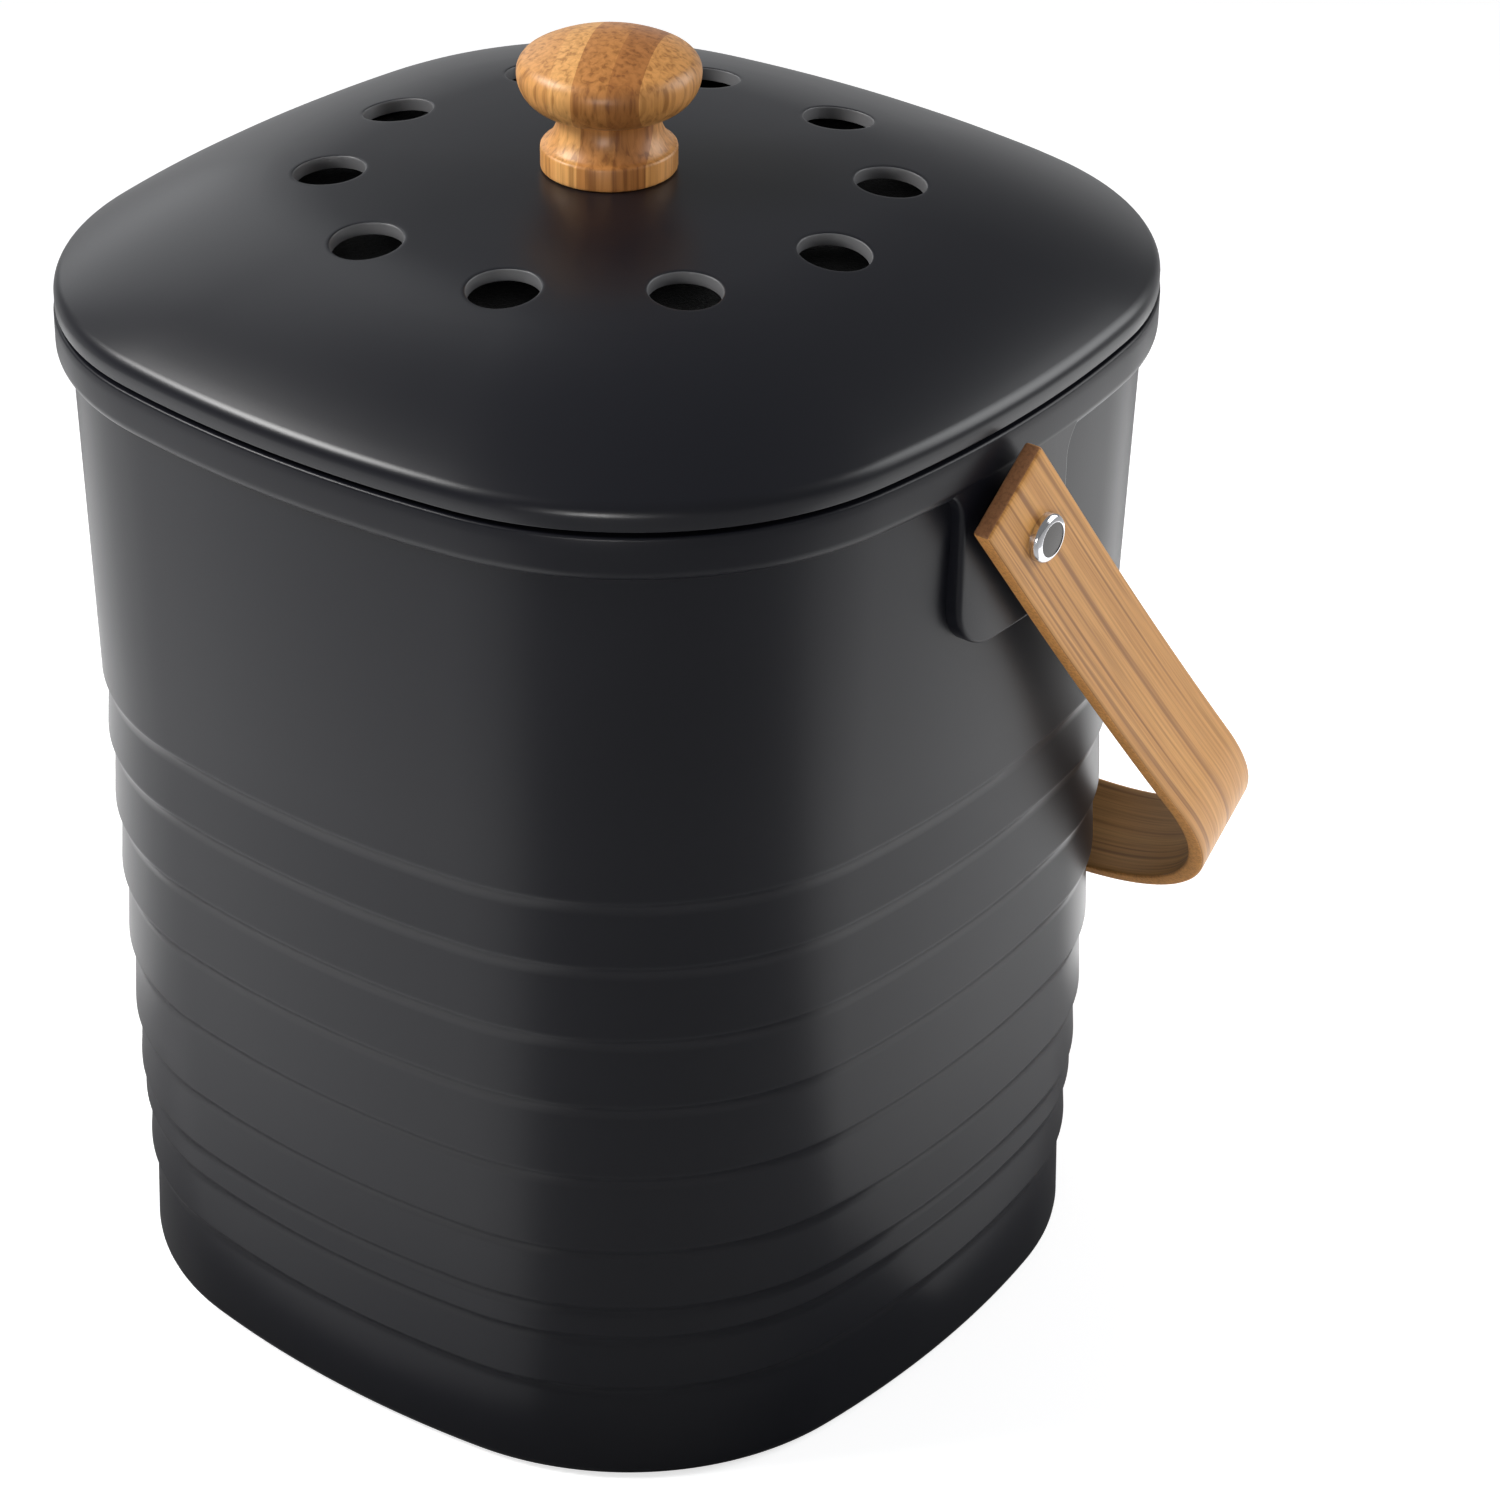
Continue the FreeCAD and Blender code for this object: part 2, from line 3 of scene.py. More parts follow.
import bmesh
import bpy
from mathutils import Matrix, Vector


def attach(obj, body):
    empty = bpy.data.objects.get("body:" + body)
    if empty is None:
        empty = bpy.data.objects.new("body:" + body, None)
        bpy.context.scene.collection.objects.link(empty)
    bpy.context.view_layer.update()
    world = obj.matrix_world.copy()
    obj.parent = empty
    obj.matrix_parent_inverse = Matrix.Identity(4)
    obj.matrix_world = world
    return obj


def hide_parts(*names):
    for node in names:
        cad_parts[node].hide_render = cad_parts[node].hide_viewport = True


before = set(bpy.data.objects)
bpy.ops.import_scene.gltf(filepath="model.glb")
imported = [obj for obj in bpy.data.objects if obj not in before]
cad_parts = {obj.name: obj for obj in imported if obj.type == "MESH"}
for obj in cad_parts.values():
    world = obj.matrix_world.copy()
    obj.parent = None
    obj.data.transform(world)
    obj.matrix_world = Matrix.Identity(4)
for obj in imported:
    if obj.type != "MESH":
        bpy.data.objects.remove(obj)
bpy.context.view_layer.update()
mm = 0.001
tiny = 0.01  # mm, points closer than this count as one
squareOn = 0.9  # least part of a unit normal along an axis, for a face that looks along it
scene = bpy.context.scene
scene.view_settings.view_transform = "Standard"
print("frame loaded,", len(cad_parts), "nodes")

# plan outline of bucket and lid at a half width of 1: side arcs and corner arcs, tangent to each other
plan = {"sideRadius": 2.646, "cornerRadius": 0.677, "cornerCentre": 0.3, "turnSlope": 0.4163}


def gauge(x, y):
    # half width of the scaled plan outline that passes through a point
    far, near = max(abs(x), abs(y)), min(abs(x), abs(y))
    if near < far * plan["turnSlope"]:
        a = 1 - 2 * plan["sideRadius"]
        b = 2 * (plan["sideRadius"] - 1) * far
    else:
        a = 2 * plan["cornerCentre"] ** 2 - plan["cornerRadius"] ** 2
        b = -2 * plan["cornerCentre"] * (far + near)
    c = far ** 2 + near ** 2
    return (-b - math.sqrt(b * b - 4 * a * c)) / (2 * a)


def deselectAll():
    if bpy.context.mode != "OBJECT":
        bpy.ops.object.mode_set(mode="OBJECT")
    bpy.ops.object.select_all(action="DESELECT")


def pick(ob):
    deselectAll()
    ob.select_set(True)
    bpy.context.view_layer.objects.active = ob


def editAll(ob):
    pick(ob)
    bpy.ops.object.mode_set(mode="EDIT")
    bpy.ops.mesh.select_all(action="SELECT")


def leaveEdit():
    bpy.ops.object.mode_set(mode="OBJECT")


def facesOut():
    # turn all faces outward and leave edit mode
    bpy.ops.mesh.select_all(action="SELECT")
    bpy.ops.mesh.normals_make_consistent(inside=False)
    leaveEdit()


def setPlace(ob):
    # keep the place in the mesh and the object at the origin
    pick(ob)
    bpy.ops.object.transform_apply(location=True, rotation=True, scale=True)


def newCircle(name, count, radius, height, filled=True):
    deselectAll()
    bpy.ops.mesh.primitive_circle_add(vertices=count, radius=radius * mm, location=(0, 0, height * mm),
                                      fill_type="NGON" if filled else "NOTHING")
    ob = bpy.context.object
    ob.name = ob.data.name = name
    setPlace(ob)
    return ob


def squareUp(ob, half):
    # move a circle's points out to the plan outline
    for v in ob.data.vertices:
        grow = half * mm / gauge(v.co.x, v.co.y)
        v.co.x *= grow
        v.co.y *= grow


def pullRings(start, rings):
    # extrude what is selected from ring to ring, each a half width and a height in mm
    half, height = start
    for newHalf, newHeight in rings:
        bpy.ops.mesh.extrude_region_move(
            TRANSFORM_OT_translate={"value": (0, 0, (newHeight - height) * mm)})
        grow = newHalf / half
        bpy.ops.transform.resize(value=(grow, grow, 1), center_override=(0, 0, newHeight * mm))
        half, height = newHalf, newHeight


def pulledUp(name, count, start, rings, square=False):
    # a piece of rings, filled at the first and the last
    ob = newCircle(name, count, *start)
    if square:
        squareUp(ob, start[0])
    editAll(ob)
    pullRings(start, rings)
    facesOut()
    return ob


def arc(centre, radius, first, last, steps):
    # section points on an arc, angles in degrees up from level
    points = []
    for i in range(1, steps + 1):
        turn = math.radians(first + (last - first) * i / steps)
        points.append((centre[0] + radius * math.cos(turn), centre[1] + radius * math.sin(turn)))
    return points


def closedRing(name, count, section, square):
    # a ring whose section comes back to its first point
    ob = newCircle(name, count, section[0][0], section[0][1], filled=False)
    if square:
        squareUp(ob, section[0][0])
    editAll(ob)
    pullRings(section[0], section[1:] + section[:1])
    bpy.ops.mesh.select_all(action="SELECT")
    bpy.ops.mesh.remove_doubles(threshold=tiny * mm)
    facesOut()
    return ob


def applyModifier(ob, kind, **settings):
    pick(ob)
    mod = ob.modifiers.new(kind.title(), kind)
    for key, value in settings.items():
        setattr(mod, key, value)
    bpy.ops.object.modifier_apply(modifier=mod.name)


def cutWith(ob, tool, operation):
    # boolean with a tool that is thrown away
    applyModifier(ob, "BOOLEAN", object=tool, operation=operation, solver="EXACT")
    mesh = tool.data
    bpy.data.objects.remove(tool)
    bpy.data.meshes.remove(mesh)


def smoothed(ob, degrees):
    pick(ob)
    bpy.ops.object.shade_smooth_by_angle(angle=math.radians(degrees))


def dress(ob, material, slot, body, *nodes):
    ob.data.materials.clear()
    ob.data.materials.append(material)
    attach(ob, body)
    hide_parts(*nodes)


def newMaterial(name):
    mat = bpy.data.materials.new(name)
    mat.use_nodes = True
    return mat, mat.node_tree, mat.node_tree.nodes["Principled BSDF"]


def addNode(tree, kind, inputs=None, **settings):
    node = tree.nodes.new(kind)
    for key, value in settings.items():
        setattr(node, key, value)
    for key, value in (inputs or {}).items():
        if isinstance(value, bpy.types.NodeSocket):
            tree.links.new(value, node.inputs[key])
        else:
            node.inputs[key].default_value = value
    return node


def objectPlace(tree):
    return addNode(tree, "ShaderNodeTexCoord").outputs["Object"]


def sizedNoise(tree, coord, stretch, detail, rough=0.5, warp=0.0, give="Fac"):
    # noise on coordinates in metres, stretch in features per metre along x, y and z
    mapping = addNode(tree, "ShaderNodeMapping", {"Vector": coord, "Scale": stretch})
    node = addNode(tree, "ShaderNodeTexNoise", {"Vector": mapping.outputs["Vector"], "Scale": 1.0,
                                                "Detail": detail, "Roughness": rough, "Distortion": warp})
    return node.outputs[give]


def ramp(tree, value, stops, kind="LINEAR"):
    node = addNode(tree, "ShaderNodeValToRGB", {"Fac": value})
    node.color_ramp.interpolation = kind
    spots = node.color_ramp.elements
    while len(spots) < len(stops):
        spots.new(0.5)
    for spot, (place, colour) in zip(spots, stops):
        spot.position = place
        spot.color = colour if len(colour) == 4 else (*colour, 1)
    return node.outputs["Color"]


def mixed(tree, share, first, second, kind="MIX"):
    node = addNode(tree, "ShaderNodeMix", data_type="RGBA", blend_type=kind)
    for socket, value in ((node.inputs[0], share), (node.inputs[6], first), (node.inputs[7], second)):
        if isinstance(value, bpy.types.NodeSocket):
            tree.links.new(value, socket)
        else:
            socket.default_value = value if isinstance(value, float) else (*value, 1)
    return node.outputs[2]


def between(tree, value, low, high, start=0.0, end=1.0, kind="LINEAR"):
    # low to high as the value goes from start to end
    node = addNode(tree, "ShaderNodeMapRange", {"Value": value, "From Min": start, "From Max": end,
                                                "To Min": low, "To Max": high}, interpolation_type=kind)
    return node.outputs["Result"]


def maths(tree, operation, first, second):
    return addNode(tree, "ShaderNodeMath", {0: first, 1: second}, operation=operation).outputs[0]


def coated(tree, shader, look, colour, gloss, relief):
    # colour, roughness and fine relief of a surface, the last two from noise
    tree.links.new(colour, shader.inputs["Base Color"])
    tree.links.new(between(tree, gloss, *look["rough"]), shader.inputs["Roughness"])
    shader.inputs["Specular IOR Level"].default_value = look["specular"]
    strength, depth = look["bump"]
    bump = addNode(tree, "ShaderNodeBump", {"Height": relief, "Strength": strength, "Distance": depth * mm})
    tree.links.new(bump.outputs["Normal"], shader.inputs["Normal"])


# satin moulded plastic: fine grain in the relief, soft clouding from the mould in tone and gloss
plasticLook = {"dark": (0.0044, 0.0047, 0.0072), "pale": (0.0060, 0.0064, 0.0096), "rough": (0.33, 0.38),
               "specular": 0.22, "grain": 1900, "cloud": 22, "bump": (0.12, 0.05)}
# vent walls: a rougher finish, and a grey tone far paler than the black plastic, which is painted light for
# the light the walls catch
ventPaintedLook = {**plasticLook, "dark": (0.085, 0.085, 0.088), "pale": (0.110, 0.110, 0.114),
            "rough": (0.50, 0.58), "specular": 0.4}


def makePlastic(name, look):
    mat, tree, shader = newMaterial(name)
    coord = objectPlace(tree)
    cloud = sizedNoise(tree, coord, (look["cloud"],) * 3, 3.0)
    grain = sizedNoise(tree, coord, (look["grain"],) * 3, 2.0)
    coated(tree, shader, look, mixed(tree, cloud, look["dark"], look["pale"]), cloud, grain)
    return mat


# bamboo strip: fibres run along the grain map, u along the strip and v across it, both in metres
stripLook = {"pale": (0.60, 0.305, 0.088), "mid": (0.46, 0.212, 0.052), "dark": (0.22, 0.086, 0.020),
             "fibres": (22, 1900, 1), "streaks": (4, 330, 1), "lines": (1.4, 230, 1), "hairs": (3.2, 620, 1),
             "fibreTones": [(0.32, (0.62, 0.58, 0.52)), (0.60, (1.05, 1.05, 1.05))], "fibreShare": 0.75,
             "lineTones": [(0.385, (0.85,) * 3), (0.43, (0, 0, 0))],
             "hairTones": [(0.33, (0.75,) * 3), (0.38, (0, 0, 0))],
             "streakStops": (0.3, 0.68), "rough": (0.52, 0.40), "specular": 0.28, "bump": (0.25, 0.08)}


def makeStripBamboo():
    look = stripLook
    mat, tree, shader = newMaterial("stripBamboo")
    coord = addNode(tree, "ShaderNodeUVMap", uv_map="grain").outputs["UV"]
    fibres = sizedNoise(tree, coord, look["fibres"], 3.0, 0.6)
    streaks = sizedNoise(tree, coord, look["streaks"], 3.0, 0.55, 0.3)
    lines = sizedNoise(tree, coord, look["lines"], 2.0, 0.5)
    hairs = sizedNoise(tree, coord, look["hairs"], 1.0, 0.5)
    ground = ramp(tree, streaks, list(zip(look["streakStops"], (look["mid"], look["pale"]))))
    fibred = mixed(tree, look["fibreShare"], ground, ramp(tree, fibres, look["fibreTones"]), "MULTIPLY")
    lined = mixed(tree, ramp(tree, lines, look["lineTones"]), fibred, look["dark"])
    colour = mixed(tree, ramp(tree, hairs, look["hairTones"]), lined, look["dark"])
    coated(tree, shader, look, colour, fibres, fibres)
    return mat


# sawn edges and ends of the strip: end grain specks and fibre layers
cutLook = {"edge": (0.57, 0.265, 0.072), "end": (0.29, 0.130, 0.055), "paler": 1.35,
           "specks": 1500, "clouds": 160,
           "speckTones": [(0.34, (0.60, 0.56, 0.52)), (0.58, (1, 1, 1))], "speckShare": 0.7,
           "rough": (0.60, 0.46), "specular": 0.5, "bump": (0.25, 0.06)}


def makeCutBamboo(name, tone):
    look = cutLook
    mat, tree, shader = newMaterial(name)
    coord = objectPlace(tree)
    specks = sizedNoise(tree, coord, (look["specks"],) * 3, 2.0, 0.6)
    clouds = sizedNoise(tree, coord, (look["clouds"],) * 3, 3.0)
    ground = mixed(tree, clouds, tone, tuple(part * look["paler"] for part in tone))
    colour = mixed(tree, look["speckShare"], ground, ramp(tree, specks, look["speckTones"]), "MULTIPLY")
    coated(tree, shader, look, colour, specks, specks)
    return mat


# turned knob: upright fibres, so streaks on the sides and specks on top, in glued slabs of several tones
knobLook = {"facing": 25.0, "reach": 18.2, "fibres": (800, 800, 30), "rays": (260, 260, 12), "rayShare": 0.35,
            "slabs": [(0.0, 0.66), (0.27, 0.84), (0.41, 0.36), (0.60, 0.20), (0.765, 0.62)],
            "tones": [(0.08, (0.25, 0.090, 0.024)), (0.5, (0.44, 0.190, 0.050)), (0.9, (0.57, 0.290, 0.090))],
            "speckTones": [(0.33, (0.55, 0.48, 0.42)), (0.45, (0.92,) * 3), (0.62, (1.22, 1.26, 1.35))],
            "speckShare": 0.8, "rough": (0.46, 0.34), "specular": 0.35, "bump": (0.15, 0.05)}


def makeKnobBamboo():
    look = knobLook
    mat, tree, shader = newMaterial("knobBamboo")
    coord = objectPlace(tree)
    facing = (0, 0, -math.radians(look["facing"]))
    turned = addNode(tree, "ShaderNodeMapping", {"Vector": coord, "Rotation": facing}).outputs["Vector"]
    reach = look["reach"] * mm
    across = addNode(tree, "ShaderNodeSeparateXYZ", {"Vector": turned}).outputs["X"]
    share = between(tree, across, 0.0, 1.0, -reach, reach)
    slabs = ramp(tree, share, [(place, (level,) * 3) for place, level in look["slabs"]], "CONSTANT")
    fibres = sizedNoise(tree, coord, look["fibres"], 2.0, 0.55, 0.5)
    rays = sizedNoise(tree, coord, look["rays"], 3.0, 0.6, 0.4, give="Color")
    ground = ramp(tree, mixed(tree, look["rayShare"], slabs, rays, "OVERLAY"), look["tones"])
    colour = mixed(tree, look["speckShare"], ground, ramp(tree, fibres, look["speckTones"]), "MULTIPLY")
    coated(tree, shader, look, colour, fibres, fibres)
    return mat


# metals: fine wear in tone, gloss and relief
metalLook = {"paler": 1.12, "specular": 0.5, "bump": (0.05, 0.02)}


def makeMetal(name, colour, rough, wear):
    look = {**metalLook, "rough": rough}
    mat, tree, shader = newMaterial(name)
    worn = sizedNoise(tree, objectPlace(tree), (wear,) * 3, 3.0, 0.6)
    paler = tuple(min(1.0, part * look["paler"]) for part in colour)
    coated(tree, shader, look, mixed(tree, worn, colour, paler), worn, worn)
    shader.inputs["Metallic"].default_value = 1.0
    return mat


# felt of the charcoal pad: matted fibres with a dusty sheen
feltLook = {"fibres": (900, 900, 500), "tones": [(0.35, (0.004, 0.004, 0.004)), (0.7, (0.03, 0.03, 0.031))],
            "rough": (0.95, 0.95), "specular": 0.5, "sheen": 0.3, "bump": (0.8, 0.4)}


def makeFelt():
    look = feltLook
    mat, tree, shader = newMaterial("charcoalFelt")
    fibres = sizedNoise(tree, objectPlace(tree), look["fibres"], 4.0, 0.7, 1.2)
    coated(tree, shader, look, ramp(tree, fibres, look["tones"]), fibres, fibres)
    shader.inputs["Sheen Weight"].default_value = look["sheen"]
    return mat


blackPlastic = makePlastic("blackPlastic", plasticLook)
lidPlastic = makePlastic("lidPlastic", {**plasticLook, "rough": (0.29, 0.33), "specular": 0.34})
# the vent walls' material, its pale grey a painted light
ventPaintedPlastic = makePlastic("ventPaintedPlastic", ventPaintedLook)
blackSilicone = makePlastic("blackSilicone", {**plasticLook, "rough": (0.58, 0.68), "grain": 900})
blackSpacer = makePlastic("blackSpacer", {**plasticLook, "rough": (0.50, 0.60), "grain": 1200})
stripBamboo = makeStripBamboo()
stripEdge = makeCutBamboo("stripEdge", cutLook["edge"])
stripEnd = makeCutBamboo("stripEnd", cutLook["end"])
knobBamboo = makeKnobBamboo()
brightChrome = makeMetal("brightChrome", (0.66, 0.66, 0.68), (0.10, 0.16), 500)
# the rivet's face: chrome given a dark metal colour, a painted dark reflection
capFacePaintedDark = makeMetal("capFacePaintedDark", (0.055, 0.053, 0.052), (0.22, 0.30), 300)
plainSteel = makeMetal("plainSteel", (0.52, 0.52, 0.54), (0.28, 0.42), 900)
insertBrass = makeMetal("insertBrass", (0.66, 0.47, 0.20), (0.26, 0.40), 700)
charcoalFelt = makeFelt()
print("materials made")


# bucket: one section pulled up the outside, over the rim and down to the floor
bucketShape = {"columns": 360, "base": 91.0, "baseEdge": 2.5,
               "step": 0.5, "stepDepth": 1.0, "stepTurn": 30, "stepSides": 8, "stepEdge": 0.25,
               "stepLip": 0.08, "stepFlat": 0.75,
               "bandEdges": (23.6, 36.9, 44.6, 59.0, 77.2, 94.4, 110.5, 127.4, 142.4),
               "wallTop": 213.5, "wallTopHalf": 97.4, "wallRings": 8,
               "rimHalf": 100.2, "rimRoll": 3.0, "rollTurn": 86, "rimTop": 223.2, "rimEdge": 0.6,
               "rimFlat": 2.0,
               "mouthHalf": 94.4, "mouthEdge": 0.8, "floorHalf": 87.7, "floorTop": 3.5, "floorRound": 4.0,
               "insideRings": 4, "floorShare": 0.6}


def bandRings(outer, edge):
    # the wall flares out on an arc to a fine edge, then leans back in a little towards the next flare
    s = bucketShape
    turn = math.radians(s["stepTurn"])
    radius = s["stepDepth"] / (1 - math.cos(turn))
    start = (outer - s["stepDepth"], edge - radius * math.sin(turn))
    rings = [start]
    for i in range(1, s["stepSides"] + 1):
        bend = turn * i / s["stepSides"]
        rings.append((start[0] + radius * (1 - math.cos(bend)), start[1] + radius * math.sin(bend)))
    rings.append((outer + s["stepLip"], edge + s["stepEdge"]))
    rings.append((outer + s["stepLip"], edge + s["stepFlat"]))
    return rings


def makeBucket():
    s = bucketShape
    foot = (s["base"] - s["baseEdge"], 0.0)
    rings = arc((foot[0], s["baseEdge"]), s["baseEdge"], -90, 0, 6)
    half = s["base"]
    for edge in s["bandEdges"]:
        half += s["step"]
        rings += bandRings(half, edge)
    start = rings[-1]
    for i in range(1, s["wallRings"] + 1):
        share = i / s["wallRings"]
        rings.append((start[0] + (s["wallTopHalf"] - start[0]) * share,
                      start[1] + (s["wallTop"] - start[1]) * share))
    roll = math.radians(s["rollTurn"])
    rollCentre = (s["rimHalf"] - s["rimRoll"], s["wallTop"] + s["rimRoll"] * math.sin(roll))
    rings.append((rollCentre[0] + s["rimRoll"] * math.cos(roll), s["wallTop"]))
    rings += arc(rollCentre, s["rimRoll"], -s["rollTurn"], 0, 12)
    rimShoulder = s["rimTop"] - s["rimEdge"]
    rings += [(s["rimHalf"], rimShoulder - s["rimFlat"]), (s["rimHalf"], rimShoulder)]
    rings += arc((s["rimHalf"] - s["rimEdge"], rimShoulder), s["rimEdge"], 0, 90, 4)
    rings.append((s["mouthHalf"] + s["mouthEdge"], s["rimTop"]))
    rings += arc((s["mouthHalf"] + s["mouthEdge"], s["rimTop"] - s["mouthEdge"]), s["mouthEdge"], 90, 180, 4)
    low = s["floorTop"] + s["floorRound"]
    inside = s["floorHalf"] + (s["mouthHalf"] - s["floorHalf"]) * low / s["rimTop"]
    for i in range(1, s["insideRings"] + 1):
        share = i / s["insideRings"]
        rings.append((s["mouthHalf"] + (inside - s["mouthHalf"]) * share,
                      s["rimTop"] - s["mouthEdge"] + (low - s["rimTop"] + s["mouthEdge"]) * share))
    rings += arc((inside - s["floorRound"], low), s["floorRound"], 0, -90, 6)
    rings.append((rings[-1][0] * s["floorShare"], s["floorTop"]))
    return pulledUp("bucketShell", s["columns"], foot, rings, True)


# bosses for the bail: a tongue that flares into the rim band, flush with its face
bossShape = {"halfWidth": 17.5, "bottom": 179.0, "corner": 11.0, "flare": 8.0, "flareTop": 216.3,
             "roundSteps": 14, "top": 221.0, "root": 95.2, "face": 100.0, "edge": 1.0, "edgeSteps": 5,
             "strips": 15}


def makeBoss(hand):
    s = bossShape
    side = s["halfWidth"]
    right = [(side - s["corner"], s["bottom"])]
    right += arc((side - s["corner"], s["bottom"] + s["corner"]), s["corner"], -90, 0, s["roundSteps"])
    right += arc((side + s["flare"], s["flareTop"] - s["flare"]), s["flare"], 180, 90, s["roundSteps"])
    right.append((side + s["flare"], s["top"]))
    outline = right + [(-y, z) for y, z in reversed(right)]
    ob = newCircle("boss", len(outline), 1.0, 0.0)
    for v, (y, z) in zip(ob.data.vertices, outline):
        v.co = (s["root"] * mm, y * mm, z * mm)
    editAll(ob)
    depth = s["face"] - s["edge"] - s["root"]
    bpy.ops.mesh.extrude_region_move(TRANSFORM_OT_translate={"value": (depth * mm, 0, 0)})
    bpy.ops.mesh.select_all(action="SELECT")
    bpy.ops.mesh.normals_make_consistent(inside=False)
    bpy.ops.mesh.select_all(action="DESELECT")
    mesh = bmesh.from_edit_mesh(ob.data)
    for face in mesh.faces:
        if face.normal.x > squareOn:
            face.select_set(True)
    bmesh.update_edit_mesh(ob.data)
    turns = [math.pi / 2 * i / s["edgeSteps"] for i in range(s["edgeSteps"] + 1)]
    for now, after in zip(turns, turns[1:]):
        bpy.ops.mesh.inset(thickness=s["edge"] * (math.cos(now) - math.cos(after)) * mm,
                           depth=s["edge"] * (math.sin(after) - math.sin(now)) * mm)
    for i in range(1, s["strips"]):
        bpy.ops.mesh.select_all(action="SELECT")
        place = (side + s["flare"]) * (2 * i / s["strips"] - 1)
        bpy.ops.mesh.bisect(plane_co=(0, place * mm, 0), plane_no=(0, 1, 0))
    leaveEdit()
    bow = s["face"] * plan["sideRadius"] * mm
    for v in ob.data.vertices:
        v.co.x = hand * (v.co.x - bow + math.sqrt(bow ** 2 - v.co.y ** 2))
    editAll(ob)
    facesOut()
    return ob


bucketPiece = makeBucket()
for hand in (1, -1):
    cutWith(bucketPiece, makeBoss(hand), "UNION")
smoothed(bucketPiece, 38)
dress(bucketPiece, blackPlastic, "black_plastic", "bucket", "bucket")
print("bucket", len(bucketPiece.data.polygons), "faces")


# lid: ten vent sectors laid flat, filled in to the middle and out to the edge, then lifted to the crown
lidShape = {"half": 100.0, "seat": 248.1, "innerRadius": 605.0, "innerReach": 50.0, "skirtTop": 226.7,
            "skirtBottom": 224.1, "skirtEdge": 0.4, "edgeRadius": 3.5, "thickness": 2.6, "outerRings": 9,
            "vents": 10, "ventRadius": 7.15, "ventCircle": 55.4, "ventLip": 0.4, "ventPoints": 96,
            "ventLand": (1.0, 2.2), "sectorShares": (0.3, 0.55, 0.78, 1.0),
            "sectorIn": 42.0, "sectorOut": 69.0, "sectorSlack": 0.5,
            "innerRings": (36.0, 30.0, 24.0, 18.0, 13.0, 8.0)}


def crownArc():
    # the outer arc of the crown, tangent to the inner one and to the edge rounding
    s = lidShape
    slope = math.asin(s["innerReach"] / s["innerRadius"])
    top = s["seat"] - s["innerRadius"] * (1 - math.cos(slope))
    run, drop = s["half"] - s["edgeRadius"] - s["innerReach"], top - s["skirtTop"]
    square = run ** 2 + drop ** 2 - s["edgeRadius"] ** 2
    radius = square / (2 * (drop * math.cos(slope) - run * math.sin(slope) - s["edgeRadius"]))
    centre = (s["innerReach"] - radius * math.sin(slope), top - radius * math.cos(slope))
    last = math.atan2(s["half"] - s["edgeRadius"] - centre[0], s["skirtTop"] - centre[1])
    return centre, radius, last


def crownHeight(half):
    s = lidShape
    if half < s["innerReach"]:
        return s["seat"] - s["innerRadius"] + math.sqrt(s["innerRadius"] ** 2 - half ** 2)
    centre, radius, last = crownArc()
    return centre[1] + math.sqrt(radius ** 2 - (half - centre[0]) ** 2)


def sectorSpot(angle):
    # point on the edge of a vent's sector, from the angle round the vent
    s = lidShape
    turn = math.pi / s["vents"]
    quarter = math.pi / 2
    side = math.floor((angle + quarter / 2) / quarter) % 4
    share = ((angle + quarter / 2) / quarter) % 1.0
    if side == 0:
        reach, bearing = s["sectorOut"], turn * (2 * share - 1)
    elif side == 1:
        reach, bearing = s["sectorOut"] + (s["sectorIn"] - s["sectorOut"]) * share, turn
    elif side == 2:
        reach, bearing = s["sectorIn"], turn * (1 - 2 * share)
    else:
        reach, bearing = s["sectorIn"] + (s["sectorOut"] - s["sectorIn"]) * share, -turn
    return Vector((reach * math.cos(bearing), reach * math.sin(bearing)))


def roundLoop(ob, test, size):
    # bevel the edges whose points pass a test
    editAll(ob)
    bpy.ops.mesh.select_all(action="DESELECT")
    mesh = bmesh.from_edit_mesh(ob.data)
    for edge in mesh.edges:
        if all(test(v) for v in edge.verts):
            edge.select_set(True)
    bmesh.update_edit_mesh(ob.data)
    bpy.ops.mesh.bevel(offset=size * mm, segments=4, affect="EDGES")
    leaveEdit()


def ringOf(ob, test):
    # select the open edges whose points pass a test, in edit mode
    mesh = bmesh.from_edit_mesh(ob.data)
    bpy.ops.mesh.select_all(action="DESELECT")
    for edge in mesh.edges:
        if edge.is_boundary and all(test(v.co) for v in edge.verts):
            edge.select_set(True)
    bmesh.update_edit_mesh(ob.data)


def ventGap(co):
    # distance of a point from the edge of the nearest vent, in mm
    s = lidShape
    turn = 2 * math.pi / s["vents"]
    bearing = round(math.atan2(co.y, co.x) / turn) * turn
    middle = Vector((math.cos(bearing), math.sin(bearing))) * s["ventCircle"]
    return abs((co.xy / mm - middle).length - s["ventRadius"])


